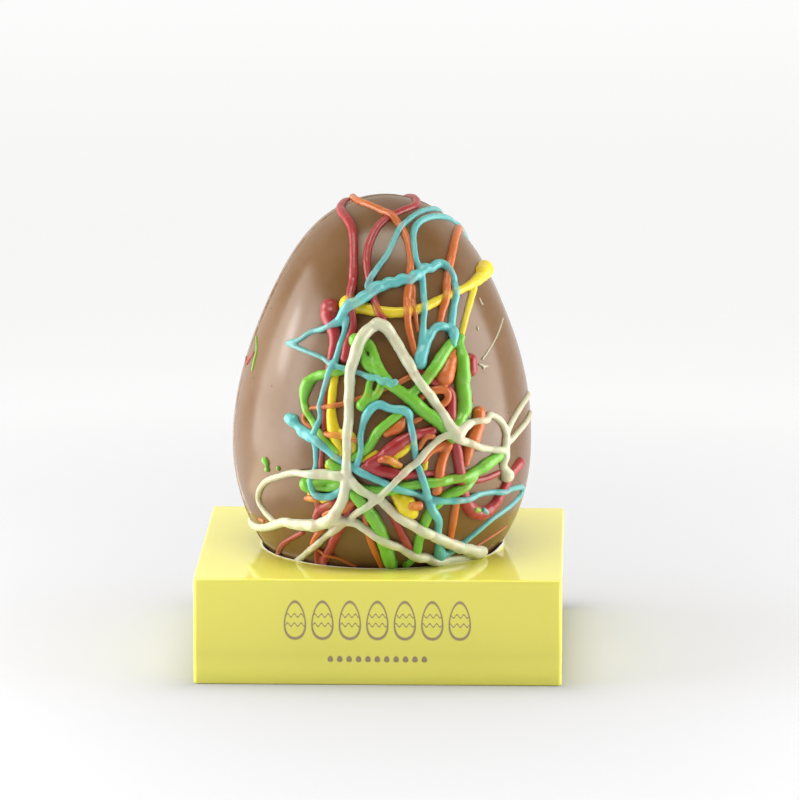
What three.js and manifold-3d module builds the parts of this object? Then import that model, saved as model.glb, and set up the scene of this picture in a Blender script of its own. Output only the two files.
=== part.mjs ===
// A chocolate egg drizzled with coloured chocolate, standing in the round hole of a square
// yellow card base. Millimetres, +Z up. The origin is the middle of the base's underside.
import * as THREE from 'three';
import { mergeVertices } from 'three/addons/utils/BufferGeometryUtils.js';
import Module from 'manifold-3d';

const wasm = await Module();
wasm.setup();

// ---------------------------------------------------------------- driving dimensions, mm

const EGG = {
  bottom: 8.6, // lowest point, above the table
  top: 124.4, // highest point, above the table
  girth: 40.0, // radius half way up
  taper: -7.35, // the end above is narrower than the end below
  belly: -1.85, // both ends draw in a little more than an ellipse
  shoulder: 6.5, // and the top fills out again
  lean: 0.8, // degrees, to the right, about the middle of the hole
  sides: 32,
  rings: 18,
};

const BASE = {
  width: 98,
  height: 28.6,
  corner: 1.2, // radius of the upright edges
  fold: 0.5, // rounding of the folded edges above and below
  holeOffset: -0.5, // the hole is a little left of the middle
  clearance: 1.4, // between the bare egg and the edge of the hole
  floor: 8.3, // thickness left under the egg
  seat: 0.6, // the pocket's floor is as wide as the egg is at this height above its lowest point
  holeSides: 56,
  holeRings: 12,
};

const DRIZZLE = {
  rooted: 0.9, // how far a strand's foot reaches into the egg
  crown: 0.95, // height of a strand over half its width
  ridge: 0.55, // half width along the top of a strand over that at its foot
  tipReach: 0.7, // a strand's end tapers over this share of half its width
  tipWidth: 0.55, // to this share of its width
  crossing: 0.65, // how much of the strand below it one on top rides over
  slope: 0.45, // steepest climb of a strand on to another
  rimHeight: 0.7, // strands are pressed this low where they pass the hole
  rimEase: 5, // over this height above the hole
  trialStep: 0.5, // a strand is followed in steps of this size
  longestStep: 8, // and gets a section at least this often
  rimStep: 2.5, // or this often near the hole
  rimZone: 7.5, // which is as far as this above it
  sharpestTurn: 30, // degrees from one section to the next
  thinnest: 1.6, // finer threads in front are left to the finish
  thinnestBehind: 2.1, // and so are these on the other half
};

// how the pouring of the other half differs from a mirror image of the front
const BEHIND = {
  turn: 5, // degrees
  turnWave: 9, // mm of height to a radian of that wave
  rise: 3, // mm
  riseWave: 17, // degrees round to a radian of that wave
  overTop: 112, // a strand that goes above this height is poured once, over both halves
};

const SEARCH = { nearest: 0.5, farthest: 1.6, halvings: 30 }; // for the egg's surface along a ray
const MERGE = 1e-4; // vertices closer than this are one

const COLOURS = { milk: 0x7a4f33, card: 0xd9c83a };

// ---------------------------------------------------------------- where the drizzle was poured

// One strand for each line, in the order of pouring: colour, width in mm, then its way over
// the egg as [degrees round from the front, height, thickness]. Thickness is 1 where left out.
const STRANDS = [
  ['yellow', 2.4, [[-18, 99.5, 1.6], [-8, 98], [17, 98.5], [34, 100], [55, 102], [70, 104, 0.8],
    [80, 104.5, 1.4]]],
  ['yellow', 1.6, [[56, 101.5], [51, 98.5], [45, 95.5], [39, 90]]],
  ['yellow', 2.7, [[-18, 81], [-19, 75], [-19, 69], [-17, 65], [-14.5, 62.5], [-16.5, 60], [-20, 57.5]]],
  ['yellow', 2.1, [[-16.5, 60], [-12, 62], [-7.5, 63.5]]],
  ['yellow', 1.9, [[11.5, 63], [8, 62], [5.5, 60.5], [8, 58.5]]],
  ['yellow', 5.3, [[9, 48.5, 0.8], [10.5, 46.5], [13, 43.5, 0.3]]],
  ['yellow', 2.1, [[-6.5, 60], [-1.5, 60.5]]],
  ['yellow', 2.1, [[-24, 47], [-18.5, 47.5]]],
  ['red', 1.9, [[-15, 84.5, 1.4], [-15, 87.5, 1.2], [-12.5, 92.5], [-15.5, 97.5], [-16.5, 104], [-19.5, 111],
    [-28, 117], [-75, 121.5], [-160, 118], [170, 110], [162, 100, 1.4]]],
  ['red', 1.9, [[1.5, 95], [-3, 99.5], [-7, 104], [-11, 111], [-6, 119], [60, 124], [168, 120], [180, 110],
    [176, 98, 1.3]]],
  ['red', 1.9, [[-28, 100.5, 2.3], [-25.5, 97, 2.2], [-21.5, 92.5, 1.4], [-22, 87.5], [-22, 80, 0.7],
    [-22, 60, 0.7], [-22, 53, 0.7], [-24, 44.5, 0.7], [-27.5, 35.5, 0.7], [-31, 27.5, 0.7]]],
  ['red', 2.9, [[-3, 58.5], [-0.5, 61], [5.5, 64.5], [13.5, 66.5], [20, 67]]],
  ['red', 1.6, [[-4, 58], [3.5, 56.5], [13.5, 55.5], [26.5, 55], [35, 53.5], [50.5, 53.5]]],
  ['red', 2.9, [[23, 80, 0.8], [28, 78, 0.9], [29, 74], [28.5, 69.5], [29.5, 62.5], [32, 56.5], [36.5, 51],
    [39, 46], [42, 43.5, 1.1], [46, 43, 1.1], [50, 45.5], [54, 49.5, 0.9], [60, 52.5, 0.8], [67, 54.5, 0.6]]],
  ['red', 3.7, [[40, 84.5], [39.5, 82.5]]],
  ['red', 2.0, [[-8, 47.5], [-13, 40.5], [-18.5, 35], [-28.5, 27.5]]],
  ['red', 1.9, [[4, 46], [7.5, 41.5], [10.5, 37.5], [17.5, 32]]],
  ['red', 0.9, [[-33.5, 37.5], [-39.5, 35.5], [-50, 32], [-58, 28]]],
  ['orange', 1.7, [[15, 87.5], [13.5, 92.5], [13, 99.5], [15, 105.5], [19, 111], [16, 118], [-60, 123.5],
    [-150, 117], [-157, 108], [-150, 97, 1.3]]],
  ['orange', 0.8, [[17.5, 103.5], [16.5, 99.5], [17, 91.5]]],
  ['orange', 2.0, [[29, 93.5], [34, 99], [39.5, 105], [48.5, 110.5], [75, 115], [112, 112], [124, 104],
    [120, 95, 1.3]]],
  ['orange', 3.4, [[31.5, 86], [27, 82], [22.5, 78]]],
  ['orange', 0.8, [[-27, 71.5], [-15, 74], [0.5, 78], [12.5, 81]]],
  ['orange', 0.8, [[-24.5, 72], [-29.5, 71.5], [-30.5, 69.5], [-30, 68], [-27, 67]]],
  ['orange', 1.1, [[-20.5, 65.5], [-14.5, 65.5], [-7.5, 65]]],
  ['orange', 2.7, [[42, 71.5, 1.1], [41.5, 68, 1.1], [39.5, 65], [37, 62, 0.8], [34.5, 57.5, 0.5]]],
  ['orange', 2.1, [[25.5, 63], [21.5, 62], [17.5, 60]]],
  ['orange', 1.9, [[26.5, 62.5], [24.5, 58.5], [23, 54.5], [23.5, 50.5]]],
  ['orange', 1.7, [[31.5, 48], [32, 44], [32.5, 36]]],
  ['orange', 1.3, [[-4.5, 43.5], [-4, 39], [-1.5, 34], [2, 27.5]]],
  ['orange', 1.3, [[-30.5, 47.5], [-26.5, 46.5], [-20, 45], [-12.5, 46.5]]],
  ['orange', 1.3, [[-25.5, 42], [-28, 38], [-28.5, 34.5]]],
  ['green', 2.7, [[-10, 90, 1.1], [-5.5, 88.5], [-2, 84.5], [2.5, 80.5], [12.5, 75], [25, 67], [28, 64]]],
  ['green', 2.0, [[11.5, 75.5], [19, 80.5], [26, 85.5], [32, 89]]],
  ['green', 3.4, [[38, 90.5, 0.9], [35.5, 86.5, 0.9], [35.5, 77], [35, 71], [32.5, 67.5], [29, 66.5, 0.8]]],
  ['green', 1.5, [[-14.5, 83], [-20, 81.5, 1.2], [-26, 80.5, 1.3], [-30, 78.5, 1.8], [-33, 76.5, 1.2],
    [-32, 73.5], [-29, 70.5], [-24, 66.5], [-17.5, 62], [-13.5, 59.5]]],
  ['green', 2.7, [[-20, 57.5], [-14, 56]]],
  ['green', 1.3, [[-4.5, 80.5], [-4.5, 77], [-6, 74.5, 1.6]]],
  ['green', 1.3, [[-1, 79.5], [-1.5, 76.5], [-3.5, 75]]],
  ['green', 1.9, [[-9, 59.5], [-4.5, 61], [-0.5, 65.5], [3.5, 68.5], [8.5, 71.5]]],
  ['green', 2.1, [[-29, 52.5, 1.4], [-23.5, 53], [-17, 52.5, 0.7]]],
  ['green', 1.5, [[-22, 50.5], [-18.5, 51.5], [-15.5, 52.5]]],
  ['green', 2.1, [[-9.5, 52], [1.5, 51], [10, 52.5], [21, 53.5], [36, 54.5], [44, 56.5], [52.5, 58]]],
  ['green', 2.5, [[37.5, 53], [30.5, 50], [23, 46.5], [18.5, 43], [17.5, 37.5], [17, 33.5], [12, 27.5]]],
  ['green', 3.3, [[-9.5, 52, 0.8], [-6.5, 48.5, 0.9], [-1, 42], [3, 37], [8, 27.5]]],
  ['green', 0.8, [[-75, 88], [-70, 83], [-68, 77]]],
  ['blue', 1.7, [[-45.5, 87.5], [-39, 89], [-35, 91], [-25.5, 92.5], [-17, 96, 1.6], [-1, 103.5, 1.6],
    [23, 107, 1.5], [35.5, 108.5, 1.3], [41.5, 108.5, 1.1], [42, 105.5], [40.5, 100.5], [36.5, 95],
    [34.5, 92.5, 1.3], [33, 88.5, 0.7]]],
  ['blue', 2.1, [[34, 93], [28, 93.5], [23.5, 91.5], [20.5, 88.5], [17, 85, 1.4]]],
  ['blue', 1.2, [[-8, 102.5], [-4.5, 106], [2.5, 111], [16, 118], [80, 121.5], [130, 115], [142, 106],
    [136, 96, 1.4]]],
  ['blue', 1.3, [[17, 87.5], [19.5, 91.5], [22.5, 100.5], [23, 107], [22, 111], [30, 118], [80, 119],
    [105, 112], [106, 104], [100, 97, 1.3]]],
  ['blue', 1.2, [[-45.5, 87.5], [-31, 86], [-17, 83.5], [-7, 82], [2, 80], [6.5, 79.5, 1.3]]],
  ['blue', 1.3, [[-14, 95.5], [-17.5, 89.5], [-19.5, 83.5], [-23, 75.5], [-23.5, 68.5], [-25, 65.5],
    [-24.5, 61.5], [-23.5, 56], [-25.5, 53.5], [-24.5, 50.5], [-20.5, 49], [-15.5, 50], [-13.5, 52.5]]],
  ['blue', 2.0, [[-38, 68.5, 1.3], [-30.5, 65.5, 1.1], [-23.5, 64], [-13.5, 59], [-4.5, 56], [7.5, 52],
    [17, 49.5], [28, 48.5], [40.5, 47.5, 0.8], [48, 48.5, 0.8], [57.5, 47.5, 0.7], [72, 47, 0.7],
    [77, 45.5, 0.7], [70, 44, 0.7], [53, 40.5, 0.8], [41.5, 34.5, 0.9], [33, 31.5, 0.9]]],
  ['blue', 1.7, [[-8, 57], [-6.5, 62], [-5.5, 69], [-3, 73], [1, 74], [5.5, 72.5], [11, 72.5, 1.1],
    [12, 70], [13, 63.5], [15, 57], [18, 50.5, 1.4], [21.5, 44.5, 1.5], [25, 40.5, 1.3], [26.5, 36, 1.2],
    [29, 32, 1.7]]],
  ['ivory', 2.3, [[-1.5, 94.5, 1.1], [-6, 93.5], [-9.5, 89], [-11.5, 82], [-11.5, 67.5], [-11.5, 52],
    [-14, 47], [-17.5, 43.5], [-24.5, 41.5, 1.2], [-33.5, 40], [-45.5, 39], [-57.5, 36], [-71.5, 35, 0.9],
    [-90, 34.5, 0.8]]],
  ['ivory', 1.6, [[-13, 55], [-21, 55.5], [-30.5, 54], [-41, 53], [-49.5, 50], [-55.5, 46], [-55, 41.5],
    [-47.5, 38.5]]],
  ['ivory', 2.1, [[-1.5, 94.5, 1.1], [3, 93, 1.1], [9.5, 88], [15, 81], [21, 75.5], [25, 70],
    [29.5, 65, 1.2]]],
  ['ivory', 1.6, [[29.5, 65], [34, 67], [39.5, 69, 0.9], [48.5, 69], [53.5, 67.5], [57.5, 63],
    [55.5, 60, 0.9], [53, 56.5, 0.9], [55, 54, 1.1], [57, 52, 1.7]]],
  ['ivory', 1.3, [[30.5, 65], [36.5, 62.5], [44, 61], [52.5, 60]]],
  ['ivory', 1.2, [[57.5, 63.5, 1.2], [61.5, 67], [71.5, 69.5], [85, 70.5, 0.8]]],
  ['ivory', 1.2, [[58, 61, 1.1], [67, 63], [84, 66, 0.8]]],
  ['ivory', 1.2, [[29.5, 65], [22.5, 64], [15.5, 60], [8, 55], [-1.5, 49], [-10.5, 43.5], [-20, 39],
    [-36, 31], [-46, 27.5]]],
  ['ivory', 2.0, [[-9.5, 55], [-4.5, 51], [3.5, 47.5], [8, 44], [17, 40.5], [28, 36], [40.5, 33],
    [49.5, 31.5, 1.2], [56, 31, 1.5]]],
  ['ivory', 1.7, [[-17, 44], [-10, 42.5], [-1, 39], [6.5, 36.5], [17.5, 31.5], [33, 30], [51, 29.5, 0.8]]],
];

// ---------------------------------------------------------------- shape of the egg

const MIDDLE = (EGG.top + EGG.bottom) / 2;
const HALF = (EGG.top - EGG.bottom) / 2;

function eggRadius(z) {
  const t = THREE.MathUtils.clamp((z - MIDDLE) / HALF, -1, 1);
  return Math.sqrt(1 - t * t) * (EGG.girth + EGG.taper * t + EGG.belly * t * t + EGG.shoulder * t ** 3);
}

// heights of the rings from pole to pole, closer together towards the poles
function ringHeights(count, lowest = EGG.bottom, highest = EGG.top) {
  const half = (highest - lowest) / 2;
  return Array.from({ length: count + 1 }, (_, i) => lowest + half * (1 - Math.cos((Math.PI * i) / count)));
}

function pointAt(degrees, height) {
  const a = THREE.MathUtils.degToRad(degrees);
  const r = eggRadius(height);
  return new THREE.Vector3(r * Math.sin(a), -r * Math.cos(a), height);
}

// the point of the egg's surface in line with p, seen from the middle of the egg
function onSurface(p) {
  const ray = new THREE.Vector3(p.x, p.y, p.z - MIDDLE);
  let inside = SEARCH.nearest;
  let outside = SEARCH.farthest;
  for (let i = 0; i < SEARCH.halvings; i++) {
    const k = (inside + outside) / 2;
    const z = MIDDLE + ray.z * k;
    const isInside = Math.abs(ray.z * k) < HALF && Math.hypot(ray.x, ray.y) * k < eggRadius(z);
    if (isInside) inside = k;
    else outside = k;
  }
  return ray.multiplyScalar(inside).add(new THREE.Vector3(0, 0, MIDDLE));
}

function outward(p) {
  const step = 0.05;
  const low = Math.max(p.z - step, EGG.bottom);
  const high = Math.min(p.z + step, EGG.top);
  const slope = (eggRadius(high) - eggRadius(low)) / (high - low);
  const round = Math.hypot(p.x, p.y) || 1;
  return new THREE.Vector3(p.x / round, p.y / round, -slope).normalize();
}

// ---------------------------------------------------------------- solids

function solidOf(geometry) {
  geometry.deleteAttribute('normal');
  geometry.deleteAttribute('uv');
  const merged = mergeVertices(geometry, MERGE);
  return new wasm.Manifold(new wasm.Mesh({
    numProp: 3,
    vertProperties: Float32Array.from(merged.attributes.position.array),
    triVerts: Uint32Array.from(merged.index.array),
  }));
}

function geometryOf(solid) {
  const mesh = solid.getMesh();
  const geometry = new THREE.BufferGeometry();
  geometry.setAttribute('position', new THREE.BufferAttribute(mesh.vertProperties, mesh.numProp));
  geometry.setIndex(new THREE.BufferAttribute(mesh.triVerts, 1));
  return geometry;
}

// a lathe turned about +Z from [radius, height] pairs that start and end on the axis
function turned(profile, sides) {
  const points = profile.map(([r, z]) => new THREE.Vector2(r, z));
  return new THREE.LatheGeometry(points, sides).rotateX(Math.PI / 2);
}

function bareEgg() {
  const heights = ringHeights(EGG.rings);
  const profile = heights.map((z, i) => [i === 0 || i === EGG.rings ? 0 : eggRadius(z), z]);
  return solidOf(turned(profile, EGG.sides));
}

// ---------------------------------------------------------------- drizzle

// The other half shell is drizzled like a mirror image of the front one, with a little drift
// that is nothing where the halves meet.
function onBothHalves(strands) {
  const drift = ([a, h, k]) => {
    const far = Math.cos(THREE.MathUtils.degToRad(a));
    const turn = BEHIND.turn * far * Math.sin(h / BEHIND.turnWave);
    const rise = BEHIND.rise * far * Math.sin(a / BEHIND.riseWave);
    return [180 - a + turn, h + rise, k];
  };
  const runsOver = ([, , route]) => route.some(([, h]) => h > BEHIND.overTop);
  const front = strands.filter(([, width]) => width >= DRIZZLE.thinnest);
  const behind = strands
    .filter((strand) => !runsOver(strand) && strand[1] >= DRIZZLE.thinnestBehind)
    .map(([colour, width, route]) => [colour, width, route.map(drift)]);
  return [...front, ...behind];
}

// stations along a strand, closer together where it bends
function stationsOf([colour, width, route]) {
  const curve = new THREE.CatmullRomCurve3(route.map(([a, h]) => pointAt(a, h)), false, 'centripetal');
  const count = Math.max(4, Math.ceil(curve.getLength() / DRIZZLE.trialStep));
  curve.arcLengthDivisions = count * 4;
  const stations = [];
  let along = 0;
  let before = null;
  for (let i = 0; i <= count; i++) {
    const t = curve.getUtoTmapping(i / count);
    const foot = onSurface(curve.getPoint(t));
    const heading = curve.getTangent(t);
    const place = t * (route.length - 1);
    const from = Math.min(Math.floor(place), route.length - 2);
    const thickness = THREE.MathUtils.lerp(route[from][2] ?? 1, route[from + 1][2] ?? 1, place - from);
    if (before) along += foot.distanceTo(before);
    before = foot;
    const last = stations.at(-1);
    const turn = last ? THREE.MathUtils.radToDeg(last.heading.angleTo(heading)) : 180;
    const walked = last ? along - last.along : Infinity;
    const nearRim = foot.z < BASE.height + DRIZZLE.rimZone;
    const longest = nearRim ? DRIZZLE.rimStep : DRIZZLE.longestStep;
    const wanted = walked > longest || turn > DRIZZLE.sharpestTurn || i === count;
    if (!wanted) continue;
    if (i === count && stations.length > 1 && walked < width / 2) stations.pop();
    const half = (width / 2) * thickness;
    stations.push({ colour, foot, heading, along, half, up: outward(foot), raise: 0 });
  }
  return stations;
}

// lifts a strand over those of other colours poured before it
function drape(stations, poured) {
  for (const s of stations) {
    for (const p of poured) {
      const reach = p.half + s.half;
      const gap = s.foot.distanceTo(p.foot);
      if (p.colour === s.colour || gap > reach + DRIZZLE.longestStep) continue;
      const away = distanceToStrand(s.foot, p);
      if (away >= reach) continue;
      const lift = p.raise + DRIZZLE.crossing * p.half * Math.sqrt(1 - (away / reach) ** 2);
      s.raise = Math.max(s.raise, lift);
    }
  }
  const lifts = stations.map((s) => s.raise);
  for (const s of stations) {
    stations.forEach((other, i) => {
      s.raise = Math.max(s.raise, lifts[i] - DRIZZLE.slope * Math.abs(other.along - s.along));
    });
  }
}

// distance from a point to the stretch that starts at a poured station
function distanceToStrand(point, station) {
  if (!station.next) return point.distanceTo(station.foot);
  const stretch = new THREE.Line3(station.foot, station.next.foot);
  return stretch.closestPointToPoint(point, true, new THREE.Vector3()).distanceTo(point);
}

// the rounded section of a strand across its heading, from its foot inside the egg
function sectionAt({ foot, heading, up, half, raise }, shrink = 1) {
  const side = new THREE.Vector3().crossVectors(heading, up).normalize();
  const free = raise + DRIZZLE.crown * half * shrink;
  const clear = THREE.MathUtils.smoothstep(foot.z, BASE.height, BASE.height + DRIZZLE.rimEase);
  const height = THREE.MathUtils.lerp(Math.min(free, DRIZZLE.rimHeight), free, clear);
  const shape = [
    [-1, -DRIZZLE.rooted],
    [-DRIZZLE.ridge, height],
    [DRIZZLE.ridge, height],
    [1, -DRIZZLE.rooted],
  ];
  return shape.map(([across, rise]) => foot.clone()
    .addScaledVector(side, across * half * shrink)
    .addScaledVector(up, rise));
}

// one straight stretch between two sections, as a closed body
function stretchBetween(a, b) {
  const n = a.length;
  const index = [];
  for (let i = 0; i < n; i++) {
    const j = (i + 1) % n;
    index.push(i, j, n + j, i, n + j, n + i);
  }
  for (let i = 1; i < n - 1; i++) {
    index.push(0, i + 1, i);
    index.push(n, n + i, n + i + 1);
  }
  const geometry = new THREE.BufferGeometry().setFromPoints([...a, ...b]);
  geometry.setIndex(index);
  return solidOf(geometry);
}

function strandSolids(stations) {
  const tip = (station, direction) => {
    const reach = direction * DRIZZLE.tipReach * station.half;
    const foot = onSurface(station.foot.clone().addScaledVector(station.heading, reach));
    return sectionAt({ ...station, foot, up: outward(foot) }, DRIZZLE.tipWidth);
  };
  const sections = [
    tip(stations[0], -1),
    ...stations.map((station) => sectionAt(station)),
    tip(stations.at(-1), 1),
  ];
  return sections.slice(1).map((section, i) => stretchBetween(sections[i], section));
}

function drizzledEgg() {
  const poured = [];
  const solids = [];
  for (const strand of onBothHalves(STRANDS)) {
    const stations = stationsOf(strand);
    stations.forEach((station, i) => { station.next = stations[i + 1]; });
    drape(stations, poured);
    poured.push(...stations);
    solids.push(...strandSolids(stations));
  }
  const joined = wasm.Manifold.union([bareEgg(), ...solids]);
  // without the flat scraps that are left where faces coincide
  return joined.decompose().reduce((largest, body) => (body.volume() > largest.volume() ? body : largest));
}

// ---------------------------------------------------------------- card base

function roundedSquare(width, radius) {
  const h = width / 2;
  const shape = new THREE.Shape();
  shape.moveTo(-h + radius, -h);
  for (const [x, y, turn] of [[h, -h, -90], [h, h, 0], [-h, h, 90], [-h, -h, 180]]) {
    const start = THREE.MathUtils.degToRad(turn);
    shape.absarc(x - Math.sign(x) * radius, y - Math.sign(y) * radius, radius, start, start + Math.PI / 2);
  }
  return shape;
}

function cardBase() {
  const outline = roundedSquare(BASE.width - 2 * BASE.fold, BASE.corner - BASE.fold);
  const block = new THREE.ExtrudeGeometry(outline, {
    depth: BASE.height - 2 * BASE.fold,
    bevelSize: BASE.fold,
    bevelThickness: BASE.fold,
    bevelSegments: 2,
    curveSegments: 3,
  }).translate(0, 0, BASE.fold);
  const radiusAt = (z) => eggRadius(Math.max(z, EGG.bottom + BASE.seat)) + BASE.clearance;
  const wall = ringHeights(BASE.holeRings, BASE.floor, 2 * BASE.height - BASE.floor)
    .filter((z) => z < BASE.height)
    .map((z) => [radiusAt(z), z]);
  const mouth = radiusAt(BASE.height);
  const above = BASE.height + 1;
  const profile = [[0, BASE.floor], ...wall, [mouth, BASE.height], [mouth, above], [0, above]];
  const pocket = turned(profile, BASE.holeSides).translate(BASE.holeOffset, 0, 0);
  return solidOf(block).subtract(solidOf(pocket));
}

// ---------------------------------------------------------------- scene graph

function named(name, solid, colour, roughness) {
  const material = new THREE.MeshStandardMaterial({ color: colour, roughness, metalness: 0 });
  const mesh = new THREE.Mesh(geometryOf(solid), material);
  mesh.name = name;
  return mesh;
}

const egg = named('egg', drizzledEgg(), COLOURS.milk, 0.35);
egg.position.z = -BASE.height;

const seat = new THREE.Group();
seat.position.set(BASE.holeOffset, 0, BASE.height);
seat.rotation.y = THREE.MathUtils.degToRad(EGG.lean);
seat.add(egg);

const part = new THREE.Group();
part.add(named('card_base', cardBase(), COLOURS.card, 0.4), seat);

export default part;
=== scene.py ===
"""A chocolate egg drizzled with coloured chocolate, standing in its square card base."""

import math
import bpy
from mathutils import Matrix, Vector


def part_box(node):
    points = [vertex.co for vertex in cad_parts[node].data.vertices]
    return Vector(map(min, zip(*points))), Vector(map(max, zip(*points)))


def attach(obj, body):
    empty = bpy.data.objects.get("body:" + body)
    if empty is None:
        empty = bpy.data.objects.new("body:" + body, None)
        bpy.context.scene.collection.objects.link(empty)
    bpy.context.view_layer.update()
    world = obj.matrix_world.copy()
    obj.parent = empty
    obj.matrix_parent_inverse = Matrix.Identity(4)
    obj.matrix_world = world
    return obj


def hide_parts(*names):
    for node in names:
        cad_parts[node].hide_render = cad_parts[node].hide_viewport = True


bl_info = {
    "name": "Drizzled chocolate egg",
    "version": (1, 0, 0),
    "blender": (4, 5, 0),
    "location": "3D View > Sidebar > Egg",
    "description": "Makes a chocolate egg drizzled with coloured chocolate, in its card base",
    "category": "Add Mesh",
}

import bpy
import numpy as np
from bpy.props import FloatProperty, FloatVectorProperty, IntProperty, PointerProperty
from mathutils import Vector
from mathutils.kdtree import KDTree

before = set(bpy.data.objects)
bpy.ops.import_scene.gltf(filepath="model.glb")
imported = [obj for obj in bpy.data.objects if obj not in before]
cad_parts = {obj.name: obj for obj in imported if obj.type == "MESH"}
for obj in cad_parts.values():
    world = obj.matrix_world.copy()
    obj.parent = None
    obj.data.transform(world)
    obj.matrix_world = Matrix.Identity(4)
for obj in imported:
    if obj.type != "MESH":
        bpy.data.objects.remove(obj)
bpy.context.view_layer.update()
BASE_LOW, BASE_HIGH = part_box("card_base")
MM = 0.001


# ---------------- what a user would change


def length(name, description, default):
    return FloatProperty(
        name=name, description=description, default=default, unit="LENGTH", precision=5
    )


def share(name, description, default):
    return FloatProperty(
        name=name, description=description, default=default, subtype="FACTOR"
    )


def colour(name, description, red, green, blue):
    return FloatVectorProperty(
        name=name,
        description=description,
        default=(red, green, blue),
        subtype="COLOR",
        min=0,
        max=1,
    )


class EggShape(bpy.types.PropertyGroup):
    """The bare egg, before anything is poured on it."""

    bottom: length("Bottom", "Lowest point above the table", 8.6 * MM)
    top: length("Top", "Highest point above the table", 124.4 * MM)
    girth: length("Girth", "Radius half way up", 40.0 * MM)
    taper: length("Taper", "Narrows the end above", -7.35 * MM)
    belly: length("Belly", "Draws both ends in", -1.85 * MM)
    shoulder: length("Shoulder", "Fills the top out again", 6.5 * MM)
    ripple: length("Ripple", "Depth of the slow waves in the moulded surface", 0.10 * MM)
    seam: length("Seam", "Radius of the bead where the half shells join", 0.35 * MM)
    lean: FloatProperty(
        name="Lean",
        description="Tilt to the right in the hole",
        default=math.radians(0.8),
        subtype="ANGLE",
    )


class CardShape(bpy.types.PropertyGroup):
    """The square base that is folded from card."""

    width: length("Width", "Side of the square", BASE_HIGH.x - BASE_LOW.x)
    height: length("Height", "From the table to the top panel", BASE_HIGH.z)
    corner: length("Corner", "Radius of the upright edges", 1.2 * MM)
    fold: length("Fold", "Radius of the folds above and below", 0.5 * MM)
    thickness: length("Card", "Thickness of the card", 0.5 * MM)
    cut: length("Cut edge", "Width of the bare rim of the hole", 0.3 * MM)
    burr: length("Burr", "How far the cut raised the rim of the hole", 0.15 * MM)
    hole_offset: length("Hole offset", "The egg stands left of the middle", -0.5 * MM)
    hole_shift: length("Hole shift", "The hole is cut right of the egg", 0.35 * MM)
    clearance: length("Clearance", "Between the bare egg and the hole", 0.75 * MM)
    pocket: length("Pocket", "Height of the pocket's floor", 8.3 * MM)
    sag: length("Sag", "How far the egg presses the front of the hole down", 0.4 * MM)


class DrizzleShape(bpy.types.PropertyGroup):
    """How the coloured chocolate lies on the egg."""

    crown: share("Crown", "Height of a strand over half its width", 1.0)
    spread: length("Spread", "Added to the width of every strand", 0.15 * MM)
    crossing: share("Crossing", "How far a strand rides over the one below", 0.85)
    slope: share("Slope", "Steepest climb of a strand on to another", 0.45)
    rim_height: length("Rim height", "Strands are pressed this low in the hole", 0.7 * MM)
    rim_ease: length("Rim ease", "Height above the hole where that ends", 2.2 * MM)
    unevenness: share("Unevenness", "Change of thickness along a strand", 0.06)
    grain: length("Grain", "Size of the mesh's faces", 0.25 * MM)
    rounding: IntProperty(
        name="Rounding", description="How far joints flow together", default=13
    )


class Finish(bpy.types.PropertyGroup):
    """Colours."""

    milk: colour("Milk chocolate", "The egg", 0.140, 0.066, 0.018)
    yellow: colour("Yellow", "Drizzle", 0.68, 0.55, 0.010)
    red: colour("Red", "Drizzle", 0.32, 0.020, 0.026)
    orange: colour("Orange", "Drizzle", 0.52, 0.125, 0.018)
    green: colour("Green", "Drizzle", 0.15, 0.46, 0.034)
    blue: colour("Turquoise", "Drizzle", 0.105, 0.455, 0.48)
    ivory: colour("Ivory", "Drizzle", 0.57, 0.59, 0.44)
    # Real bloom on the seam bead and the crumbs, and also the colour of the pale streaks on the
    # shell, which are painted highlights
    bloom: colour("Bloom", "Scuffed and bloomed chocolate", 0.32, 0.25, 0.18)
    card: colour("Card", "Coated side of the card", 0.725, 0.705, 0.122)
    # Painted light: the top is painted lighter and richer than the sides, standing in for light
    # bounced on to it near the egg
    panel: colour("Top panel", "The card's top, a richer yellow", 0.77, 0.76, 0.125)
    # Painted light: the sides are painted paler near the table, standing in for light that the
    # lamps don't bring to their low part
    foot: colour("Foot", "The card's sides, paler towards the table", 0.92, 0.895, 0.155)
    board: colour("Board", "Bare side and cut edge of the card", 0.80, 0.79, 0.75)
    ink: colour("Ink", "Ornament on the card", 0.28, 0.22, 0.13)


SLOTS = {
    "yellow": "yellow_chocolate",
    "red": "red_chocolate",
    "orange": "orange_chocolate",
    "green": "green_chocolate",
    "blue": "blue_chocolate",
    "ivory": "white_chocolate",
}

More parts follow.
